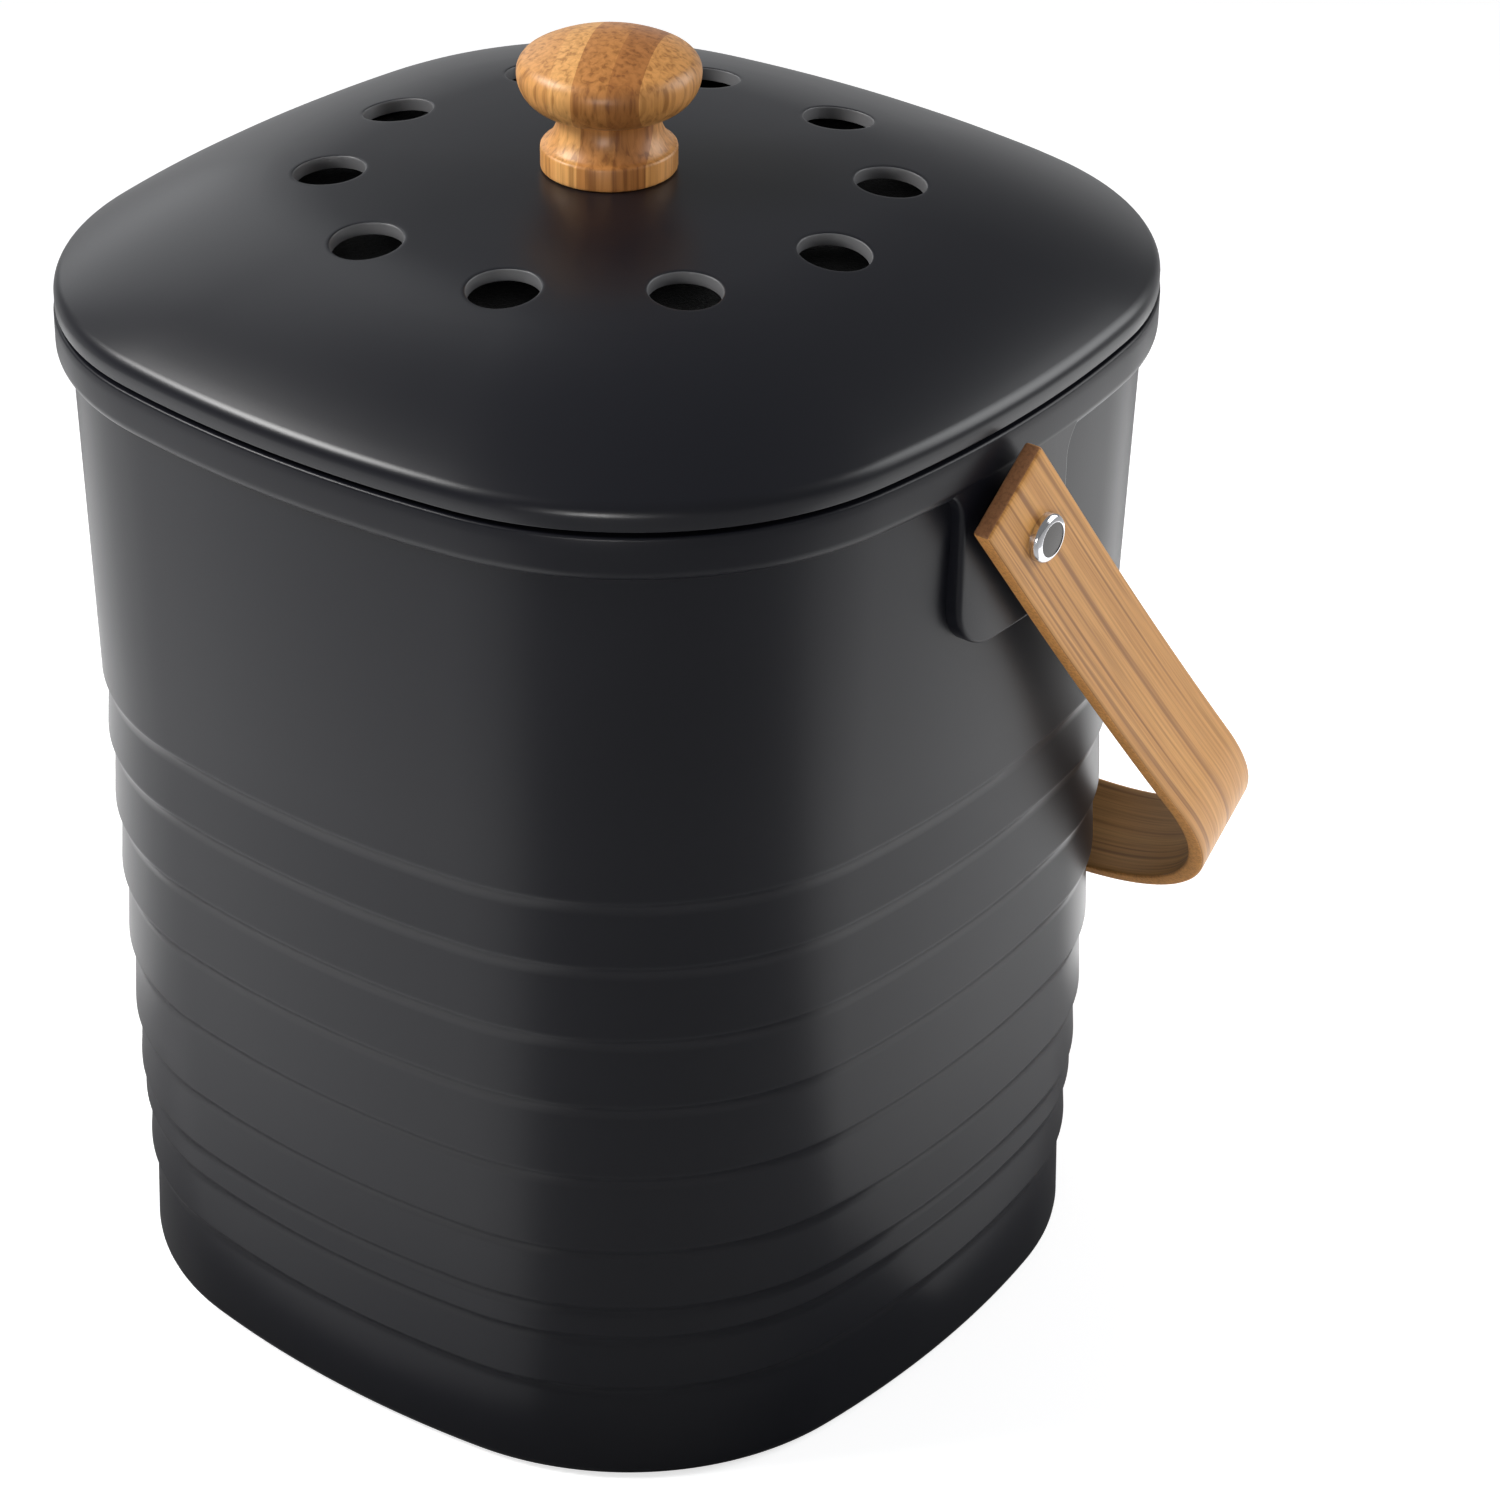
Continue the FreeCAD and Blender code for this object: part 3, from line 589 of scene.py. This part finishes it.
def makeLid():
    s = lidShape
    count = s["ventPoints"]
    ob = newCircle("lidShell", count, s["ventRadius"], 0.0, filled=False)
    narrow, wide = s["ventLand"]
    ringSteps = [(narrow, 0.0), (wide, 0.0)] + [(wide, share) for share in s["sectorShares"]]
    editAll(ob)
    for step in ringSteps:
        bpy.ops.mesh.extrude_region_move()
    leaveEdit()
    for v in ob.data.vertices:
        ring = v.index // count
        widen, share = ringSteps[ring - 1] if ring else (0.0, 0.0)
        spread = Vector((v.co.x, v.co.y)).normalized()
        near = spread * (s["ventRadius"] + widen) + Vector((s["ventCircle"], 0))
        spot = sectorSpot(math.atan2(spread.y, spread.x) % (2 * math.pi))
        v.co.x, v.co.y = (near * (1 - share) + spot * share) * mm
    editAll(ob)
    for i in range(s["vents"] - 1):
        bpy.ops.mesh.duplicate()
        bpy.ops.transform.rotate(value=2 * math.pi / s["vents"], orient_axis="Z", center_override=(0, 0, 0))
    bpy.ops.mesh.select_all(action="SELECT")
    bpy.ops.mesh.remove_doubles(threshold=tiny * mm)
    inLimit = (s["sectorIn"] + s["sectorSlack"]) * mm
    ringOf(ob, lambda co: co.xy.length < inLimit)
    pullRings((s["sectorIn"], 0.0), [(radius, 0.0) for radius in s["innerRings"]])
    bpy.ops.mesh.edge_face_add()
    outLimit = (s["sectorOut"] - s["sectorSlack"]) * mm
    ringOf(ob, lambda co: co.xy.length > outLimit)
    centre, radius, last = crownArc()
    brim = centre[0] + radius * math.sin(last)
    outward = s["outerRings"]
    for i in range(outward):
        bpy.ops.mesh.extrude_region_move()
    mesh = bmesh.from_edit_mesh(ob.data)
    mesh.verts.ensure_lookup_table()
    ringSize = sum(1 for v in mesh.verts if v.select)
    firstNew = len(mesh.verts) - ringSize * outward
    for v in mesh.verts[firstNew:]:
        share = ((v.index - firstNew) // ringSize + 1) / outward
        edgeReach = brim * mm / gauge(v.co.x, v.co.y)
        v.co.xy *= 1 + (edgeReach - 1) * share
    for v in mesh.verts:
        v.co.z = crownHeight(gauge(v.co.x, v.co.y) / mm) * mm
    bmesh.update_edit_mesh(ob.data)
    edgeCentre = (s["half"] - s["edgeRadius"], s["skirtTop"])
    edgeRings = arc(edgeCentre, s["edgeRadius"], 90 - math.degrees(last), 0, 8)
    pullRings((brim, crownHeight(brim)), edgeRings + [(s["half"], s["skirtBottom"])])
    facesOut()
    if sum(p.normal.z for p in ob.data.polygons) < 0:
        editAll(ob)
        bpy.ops.mesh.flip_normals()
        leaveEdit()
    topCount = len(ob.data.vertices)
    # the shell's rim faces, the vent walls, take the second material with its painted light
    ob.data.materials.append(lidPlastic)
    ob.data.materials.append(ventPaintedPlastic)
    applyModifier(ob, "SOLIDIFY", thickness=s["thickness"] * mm, offset=-1.0, use_even_offset=True,
                  material_offset_rim=1)
    for face in ob.data.polygons:
        if face.center.z < s["skirtTop"] * mm:
            face.material_index = 0
    roundLoop(ob, lambda v: v.index < topCount and ventGap(v.co) < tiny, s["ventLip"])
    outside = (s["half"] - tiny) * mm
    lowest = (s["skirtBottom"] + tiny) * mm
    roundLoop(ob, lambda v: v.co.z < lowest and gauge(v.co.x, v.co.y) > outside, s["skirtEdge"])
    return ob


lidPiece = makeLid()
smoothed(lidPiece, 38)
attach(lidPiece, "lid")
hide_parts("lid")
print("lid", len(lidPiece.data.polygons), "faces")


# collar under the lid's edge: land on the rim, flange in the mouth, groove for the seal
collarShape = {"land": 98.2, "rimTop": 223.2, "flange": 93.6, "flangeIn": 91.1, "flangeBottom": 214.0,
               "groove": 92.4, "grooveTop": 220.0, "grooveBottom": 217.0, "topOut": 227.0, "topIn": 231.2,
               "lift": 0.1, "edge": 0.5, "columns": 360}


def makeCollar():
    s = collarShape
    edge = s["edge"]
    seat = s["rimTop"] + s["lift"]
    section = [
        (s["land"], seat), (s["land"], s["topOut"]), (s["flangeIn"], s["topIn"]),
        (s["flangeIn"], s["flangeBottom"] + edge), (s["flangeIn"] + edge, s["flangeBottom"]),
        (s["flange"] - edge, s["flangeBottom"]), (s["flange"], s["flangeBottom"] + edge),
        (s["flange"], s["grooveBottom"]), (s["groove"], s["grooveBottom"]), (s["groove"], s["grooveTop"]),
        (s["flange"], s["grooveTop"]), (s["flange"], seat),
    ]
    return closedRing("lidCollar", s["columns"], section, True)


collarPiece = makeCollar()
smoothed(collarPiece, 38)
dress(collarPiece, blackPlastic, "black_plastic", "lid", "lid_collar")

# soft seal with a lip towards the mouth
sealShape = {"inside": 92.45, "outside": 93.6, "lip": 93.85, "lipHalf": 0.4, "bottom": 217.1, "top": 219.9,
             "columns": 360}


def makeSeal():
    s = sealShape
    middle = (s["bottom"] + s["top"]) / 2
    section = [(s["inside"], s["bottom"]), (s["outside"], s["bottom"])]
    section += [(s["lip"], middle - s["lipHalf"]), (s["lip"], middle + s["lipHalf"])]
    section += [(s["outside"], s["top"]), (s["inside"], s["top"])]
    return closedRing("lidSealRing", s["columns"], section, True)


sealPiece = makeSeal()
smoothed(sealPiece, 50)
dress(sealPiece, blackSilicone, "black_silicone", "lid", "lid_seal")

# cup for the filter, its top hidden in the lid's underside
cupShape = {"outer": 75.0, "inner": 71.8, "mouth": 73.0, "bottom": 227.0, "ledge": 229.5, "topOut": 240.4,
            "topIn": 241.3, "edge": 0.4, "mouthEdge": 0.3, "columns": 180}


def makeCup():
    s = cupShape
    edge, mouthEdge = s["edge"], s["mouthEdge"]
    section = [
        (s["outer"], s["bottom"] + edge), (s["outer"], s["topOut"]), (s["inner"], s["topIn"]),
        (s["inner"], s["ledge"]), (s["mouth"], s["ledge"]), (s["mouth"], s["bottom"] + mouthEdge),
        (s["mouth"] + mouthEdge, s["bottom"]), (s["outer"] - edge, s["bottom"]),
    ]
    return closedRing("filterCup", s["columns"], section, False)


cupPiece = makeCup()
smoothed(cupPiece, 38)
dress(cupPiece, blackPlastic, "black_plastic", "lid", "filter_cup")

# charcoal pad: thick felt, its edge pinched and its faces slightly full
padShape = {"radius": 71.4, "bottom": 229.6, "top": 237.4, "edge": 2.2, "crown": 0.7, "hub": 8.0, "rings": 8,
            "pinchTurn": 60, "pinchPower": 4, "columns": 160}


def makePad():
    s = padShape
    flat = s["radius"] - s["edge"]
    low, high = s["bottom"] + s["crown"], s["top"] - s["crown"]
    under = []
    over = []
    for i in range(1, s["rings"] + 1):
        reach = s["hub"] + (flat - s["hub"]) * i / s["rings"]
        lift = s["crown"] * (i / s["rings"]) ** s["pinchPower"]
        under.append((reach, s["bottom"] + lift))
        over.append((reach, s["top"] - lift))
    rings = under + arc((flat, low + s["edge"]), s["edge"], -s["pinchTurn"], 0, 5)
    rings += arc((flat, high - s["edge"]), s["edge"], 0, s["pinchTurn"], 5)
    rings += over[::-1] + [(s["hub"], s["top"])]
    return pulledUp("charcoalPad", s["columns"], (s["hub"], s["bottom"]), rings)


padPiece = makePad()
smoothed(padPiece, 60)
dress(padPiece, charcoalFelt, "charcoal_felt", "filter", "charcoal_filter")
print("collar, seal, cup and pad made")

# turned knob: disc foot, hollow neck and mushroom cap
knobShape = {"seat": 248.0, "footRadius": 13.6, "footTop": 253.1, "footEdge": 0.7,
             "neckRadius": 10.2, "neckTop": 259.0, "creaseRadius": 10.5, "crease": 260.6,
             "capRadius": 18.2, "widest": 268.0, "shoulder": 4.0, "top": 275.6, "poleTurn": 89.2,
             "columns": 160}


def arcThrough(centre, start, end, steps):
    # section points on the circle round a centre from one point to another, the short way
    first = math.degrees(math.atan2(start[1] - centre[1], start[0] - centre[0]))
    last = math.degrees(math.atan2(end[1] - centre[1], end[0] - centre[0]))
    if last - first > 180:
        last -= 360
    if last - first < -180:
        last += 360
    return arc(centre, math.dist(centre, start), first, last, steps)


def makeKnob():
    s = knobShape
    edge = s["footEdge"]
    rings = arc((s["footRadius"] - edge, s["seat"] + edge), edge, -90, 0, 4)
    rings += [(s["footRadius"], (s["seat"] + s["footTop"]) / 2), (s["footRadius"], s["footTop"] - edge)]
    rings += arc((s["footRadius"] - edge, s["footTop"] - edge), edge, 0, 90, 4)
    foot = rings[-1]
    run, rise = foot[0] - s["neckRadius"], s["neckTop"] - foot[1]
    hollow = (run ** 2 + rise ** 2) / (2 * run)
    rings += arcThrough((s["neckRadius"] + hollow, s["neckTop"]), foot, (s["neckRadius"], s["neckTop"]), 10)
    crease = (s["creaseRadius"], s["crease"])
    rings.append(crease)
    run, rise = s["capRadius"] - crease[0], s["widest"] - crease[1]
    belly = (run ** 2 + rise ** 2) / (2 * run)
    widest = (s["capRadius"], s["widest"])
    rings += arcThrough((s["capRadius"] - belly, s["widest"]), crease, widest, 16)
    corner = (s["capRadius"] - s["shoulder"], s["widest"])
    rise = s["top"] - s["widest"]
    domeRadius = (corner[0] ** 2 + rise ** 2 - s["shoulder"] ** 2) / (2 * (rise - s["shoulder"]))
    slope = math.degrees(math.atan2(corner[0], domeRadius - rise))
    rings += arc(corner, s["shoulder"], 0, 90 - slope, 10)
    rings += arc((0, s["top"] - domeRadius), domeRadius, 90 - slope, s["poleTurn"], 10)
    return pulledUp("knobTurned", s["columns"], (s["footRadius"] - edge, s["seat"]), rings)


knobPiece = makeKnob()
smoothed(knobPiece, 45)
dress(knobPiece, knobBamboo, "knob_bamboo", "lid", "knob")
print("knob", len(knobPiece.data.polygons), "faces")

# bail: a flat strip laid along its outer face, then given its thickness
bailShape = {"pivot": 200.8, "hang": 52.18, "face": 106.0, "width": 21.0, "thickness": 3.8,
             "edge": 0.65, "edgeSides": 3, "edgeTurn": 60, "end": 17.0, "endSlack": 1.0, "seat": 14.0,
             "reach": 168.8, "bend": 63.75, "bow": 2.98, "tries": 12,
             "across": 12, "barSteps": 12, "bendSteps": 48, "bowSteps": 24, "endSteps": 12,
             "hole": 2.55, "holePoints": 48, "holeReach": 130}


def bailPath():
    # points of the outer face from the crossbar's middle to the free end of one leg, each with its length
    s = bailShape
    bowEnd = s["reach"] - s["bend"]
    for i in range(s["tries"]):  # the bow's run and its lean settle each other
        run = bowEnd - s["seat"]
        bowRadius = (run ** 2 + s["bow"] ** 2) / (2 * s["bow"])
        lean = math.asin(run / bowRadius)
        bowEnd = s["reach"] - s["bend"] * (1 + math.sin(lean))
    bowCentre = (s["face"] + bowRadius, s["seat"])
    reach = bowRadius + s["bend"]
    bendCentre = (bowCentre[0] - reach * math.cos(lean), bowCentre[1] + reach * math.sin(lean))
    tilt = math.degrees(lean)
    points = [(bendCentre[0] * i / s["barSteps"], s["reach"]) for i in range(s["barSteps"] + 1)]
    points += arc(bendCentre, s["bend"], 90, -tilt, s["bendSteps"])
    points += arc(bowCentre, bowRadius, 180 - tilt, 180, s["bowSteps"])
    leg = s["seat"] + s["end"]
    points += [(s["face"], s["seat"] - leg * i / s["endSteps"]) for i in range(1, s["endSteps"] + 1)]
    lengths = [0.0]
    for first, second in zip(points, points[1:]):
        lengths.append(lengths[-1] + math.dist(first, second))
    return points, lengths


def makeBail():
    s = bailShape
    points, lengths = bailPath()
    points = [(-x, y) for x, y in reversed(points[1:])] + points
    lengths = [-along for along in reversed(lengths[1:])] + lengths
    steps = len(points) - 1
    deselectAll()
    bpy.ops.mesh.primitive_grid_add(x_subdivisions=steps, y_subdivisions=s["across"], size=1.0, calc_uvs=True)
    ob = bpy.context.object
    ob.name = ob.data.name = "bailStrip"
    grain = ob.data.uv_layers[0]
    grain.name = "grain"
    places = [(round((v.co.x + 0.5) * steps), v.co.y) for v in ob.data.vertices]
    for v, (step, across) in zip(ob.data.vertices, places):
        v.co = (points[step][0] * mm, points[step][1] * mm, across * s["width"] * mm)
    for loop in ob.data.loops:
        step, across = places[loop.vertex_index]
        grain.data[loop.index].uv = (lengths[step] * mm, across * s["width"] * mm)
    editAll(ob)
    facesOut()
    middle = ob.data.polygons[len(ob.data.polygons) // 2]
    if middle.normal.y < 0:
        editAll(ob)
        bpy.ops.mesh.flip_normals()
        leaveEdit()
    ob.data.materials.append(stripBamboo)
    ob.data.materials.append(stripEdge)
    ob.data.materials.append(stripEnd)
    applyModifier(ob, "SOLIDIFY", thickness=s["thickness"] * mm, offset=-1.0, use_even_offset=True,
                  material_offset_rim=1)
    for face in ob.data.polygons:
        if face.normal.y < -squareOn and face.center.y < (s["endSlack"] - s["end"]) * mm:
            face.material_index = 2
    applyModifier(ob, "BEVEL", width=s["edge"] * mm, segments=s["edgeSides"], limit_method="ANGLE",
                  angle_limit=math.radians(s["edgeTurn"]), use_clamp_overlap=False)
    ob.rotation_euler = (-math.radians(s["hang"]), 0, 0)
    ob.location = (0, 0, s["pivot"] * mm)
    setPlace(ob)
    hole = newCircle("rivetHole", s["holePoints"], s["hole"], 0.0)
    editAll(hole)
    bpy.ops.mesh.extrude_region_move(TRANSFORM_OT_translate={"value": (0, 0, 2 * s["holeReach"] * mm)})
    facesOut()
    hole.rotation_euler = (0, math.pi / 2, 0)
    hole.location = (-s["holeReach"] * mm, 0, s["pivot"] * mm)
    setPlace(hole)
    cutWith(ob, hole, "DIFFERENCE")
    return ob


bailPiece = makeBail()
smoothed(bailPiece, 38)
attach(bailPiece, "handle")
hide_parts("handle")
print("bail", len(bailPiece.data.polygons), "faces")

# rivets: a bright chrome cap, rounded round a slightly dished face whose dark metal colour is a painted dark
# reflection, on a plain post
rivetShape = {"post": 2.5, "postIn": -11.4, "cap": 5.0, "side": 0.9, "round": 1.1, "roundTurn": 62,
              "capTop": 2.2, "face": 3.55, "faceLip": 0.15, "faceEdge": 0.12, "dish": 0.12,
              "dishRings": ((0.6, 0.6), (0.25, 0.35)), "pivot": 200.8, "strip": 106.0, "columns": 64}


def makeRivet(name, hand):
    s = rivetShape
    rings = [(s["post"], 0.0), (s["cap"], 0.0), (s["cap"], s["side"])]
    rings += arc((s["cap"] - s["round"], s["side"]), s["round"], 0, s["roundTurn"], 8)
    rings += [(s["face"] + s["faceLip"], s["capTop"]), (s["face"], s["capTop"])]
    rings.append((s["face"] - s["faceEdge"], s["capTop"] - s["dish"]))
    for share, sink in s["dishRings"]:
        rings.append((s["face"] * share, s["capTop"] - s["dish"] * sink))
    ob = pulledUp(name, s["columns"], (s["post"], s["postIn"]), rings)
    ob.data.materials.append(brightChrome)
    ob.data.materials.append(capFacePaintedDark)
    # the face takes the dark metal, its painted dark reflection
    for face in ob.data.polygons:
        inPaintedFace = face.center.xy.length < s["face"] * mm and face.center.z > s["side"] * mm
        face.material_index = 1 if inPaintedFace else 0
    ob.rotation_euler = (0, hand * math.pi / 2, 0)
    ob.location = (hand * s["strip"] * mm, 0, s["pivot"] * mm)
    setPlace(ob)
    return ob


for side, hand in (("right", 1), ("left", -1)):
    rivetPiece = makeRivet("rivetCap_" + side, hand)
    smoothed(rivetPiece, 35)
    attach(rivetPiece, "bucket")
    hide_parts("rivet_" + side)

# the other pieces keep their CAD shape
finishes = {"knob_insert": insertBrass, "knob_washer": plainSteel, "knob_screw": plainSteel,
            "filter_retainer": blackPlastic, "rivet_screw_right": plainSteel, "rivet_screw_left": plainSteel,
            "rivet_washer_right": plainSteel, "rivet_washer_left": plainSteel,
            "handle_spacer_right": blackSpacer, "handle_spacer_left": blackSpacer}
for name, finish in finishes.items():
    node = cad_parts[name]
    node.data.materials.clear()
    node.data.materials.append(finish)
print("rivets made, hardware finished")

# floor: pale, white to the camera and far off in reflections, with the object's shadow and a painted shade
# close to it in reflections
floorLook = {"size": 40.0, "drop": 0.0002, "dark": (0.62, 0.62, 0.63), "pale": (0.65, 0.65, 0.65),
             "clouds": (3, 3, 3), "rough": 0.9, "glow": 0.70, "shine": 0.30, "near": 0.25, "far": 1.1,
             "shade": 0.6, "shadeIn": 0.11, "shadeOut": 0.17}


def makeFloor():
    s = floorLook
    deselectAll()
    bpy.ops.mesh.primitive_plane_add(size=s["size"], location=(0, 0, -s["drop"]))
    ob = bpy.context.object
    ob.name = "floor"
    mat, tree, shader = newMaterial("paleFloor")
    coord = objectPlace(tree)
    cloud = sizedNoise(tree, coord, s["clouds"], 2.0)
    shader.inputs["Roughness"].default_value = s["rough"]
    shader.inputs["Specular IOR Level"].default_value = 0.0
    rays = addNode(tree, "ShaderNodeLightPath")
    glossy = rays.outputs["Is Glossy Ray"]
    mirrored = maths(tree, "MAXIMUM", glossy, rays.outputs["Is Transmission Ray"])
    distance = addNode(tree, "ShaderNodeVectorMath", {0: coord}, operation="LENGTH").outputs["Value"]
    far = between(tree, distance, 0.0, s["shine"], s["near"], s["far"], "SMOOTHSTEP")
    shine = maths(tree, "MULTIPLY", mirrored, far)
    # painted shade: close to the object the floor's colour is darkened for mirrored rays only, standing in
    # for its contact shadow, so the plastic mirrors a darker floor
    close = between(tree, distance, s["shade"], 0.0, s["shadeIn"], s["shadeOut"])
    paintedShadeShare = maths(tree, "MULTIPLY", glossy, close)
    ground = mixed(tree, cloud, s["dark"], s["pale"])
    tree.links.new(mixed(tree, paintedShadeShare, ground, (0.0, 0.0, 0.0)), shader.inputs["Base Color"])
    seen = maths(tree, "MULTIPLY", rays.outputs["Is Camera Ray"], s["glow"])
    shader.inputs["Emission Color"].default_value = (1, 1, 1, 1)
    tree.links.new(maths(tree, "ADD", seen, shine), shader.inputs["Emission Strength"])
    ob.data.materials.append(mat)


makeFloor()

# an even, nearly neutral room
roomLook = {"colour": (0.98, 0.99, 1.0, 1), "strength": 0.24}
world = bpy.data.worlds.new("studioRoom")
scene.world = world
world.use_nodes = True
room = world.node_tree.nodes["Background"]
room.inputs["Color"].default_value = roomLook["colour"]
room.inputs["Strength"].default_value = roomLook["strength"]

# camera at the photograph's view; lamps are placed by bearing from the camera, height and distance
cameraView = {"azimuth": 39.0, "elevation": 30.465, "distance": 979.133, "aimHeight": 114.588,
              "aside": 0.168, "lens": 111.148, "sensor": 36.0, "shiftX": 140 / 1500, "clipEnd": 50.0}
lamps = [
    {"name": "leftStrip", "bearing": -92, "height": 1.00, "away": 0.95, "size": (0.75, 0.42),
     "power": 2.1, "spread": 50, "aim": 0.2, "colour": (1, 0.99, 0.98)},
    {"name": "rightBox", "bearing": 102, "height": 0.60, "away": 1.0, "size": (0.8, 0.7),
     "power": 2.1, "spread": 80, "aim": 0.16, "colour": (0.98, 0.99, 1)},
    {"name": "leftBack", "bearing": -152, "height": 0.80, "away": 1.1, "size": (0.55, 1.0),
     "power": 1.8, "spread": 180, "aim": 0.16, "colour": (0.97, 0.985, 1)},
    {"name": "backWall", "bearing": -176, "height": 0.38, "away": 1.4, "size": (2.0, 0.5),
     "power": 0.9, "spread": 180, "aim": 0.16, "colour": (0.98, 0.99, 1)},
    {"name": "frontFill", "bearing": -12, "height": 0.36, "away": 1.6, "size": (0.5, 0.3),
     "power": 0.18, "spread": 12, "aim": 0.265, "colour": (1, 0.99, 0.98)},
]
# bounce boards lying on the floor beside the object, facing up
boardHeight = 0.004
boards = [
    {"name": "leftBoard", "place": (-0.235, -0.335), "size": (0.57, 0.37), "power": 0.92},
    {"name": "leftNear", "place": (-0.235, -0.125), "size": (0.57, 0.05), "power": 0.062},
    {"name": "rightNear", "place": (0.125, 0.26), "size": (0.05, 0.50), "power": 0.052},
    {"name": "cornerBoard", "place": (-0.34, -0.025), "size": (0.36, 0.25), "power": 0.32},
    {"name": "rightBoard", "place": (0.30, 0.26), "size": (0.30, 0.50), "power": 0.66},
    {"name": "backBoard", "place": (0.09, 0.33), "size": (0.12, 0.36), "power": 0.26},
]


def makeCamera():
    s = cameraView
    turn, lift = math.radians(s["azimuth"]), math.radians(s["elevation"])
    back = Vector((math.sin(turn) * math.cos(lift), -math.cos(turn) * math.cos(lift), math.sin(lift)))
    right = Vector((math.cos(turn), math.sin(turn), 0))
    aim = Vector((0, 0, s["aimHeight"])) + right * s["aside"]
    deselectAll()
    bpy.ops.object.camera_add(location=(aim + back * s["distance"]) * mm)
    ob = bpy.context.object
    ob.rotation_euler = back.to_track_quat("Z", "Y").to_euler()
    ob.data.lens = s["lens"]
    ob.data.sensor_width = s["sensor"]
    ob.data.shift_x = s["shiftX"]
    ob.data.clip_end = s["clipEnd"]
    scene.camera = ob


def areaLamp(name, place, turn, size, power, colour):
    deselectAll()
    bpy.ops.object.light_add(type="AREA", location=place)
    ob = bpy.context.object
    ob.name = name
    ob.rotation_euler = turn
    ob.visible_camera = False
    ob.data.shape = "RECTANGLE"
    ob.data.size, ob.data.size_y = size
    ob.data.energy = power
    ob.data.color = colour
    return ob


def addLamp(lamp):
    turn = math.radians(cameraView["azimuth"] + lamp["bearing"])
    place = Vector((math.sin(turn) * lamp["away"], -math.cos(turn) * lamp["away"], lamp["height"]))
    facing = (place - Vector((0, 0, lamp["aim"]))).to_track_quat("Z", "Y").to_euler()
    ob = areaLamp(lamp["name"], place, facing, lamp["size"], lamp["power"], lamp["colour"])
    ob.data.spread = math.radians(lamp["spread"])


makeCamera()
for lamp in lamps:
    addLamp(lamp)
for board in boards:
    place = (*board["place"], boardHeight)
    areaLamp(board["name"], place, (math.pi, 0, 0), board["size"], board["power"], (1, 1, 1))
print("camera and lamps set")
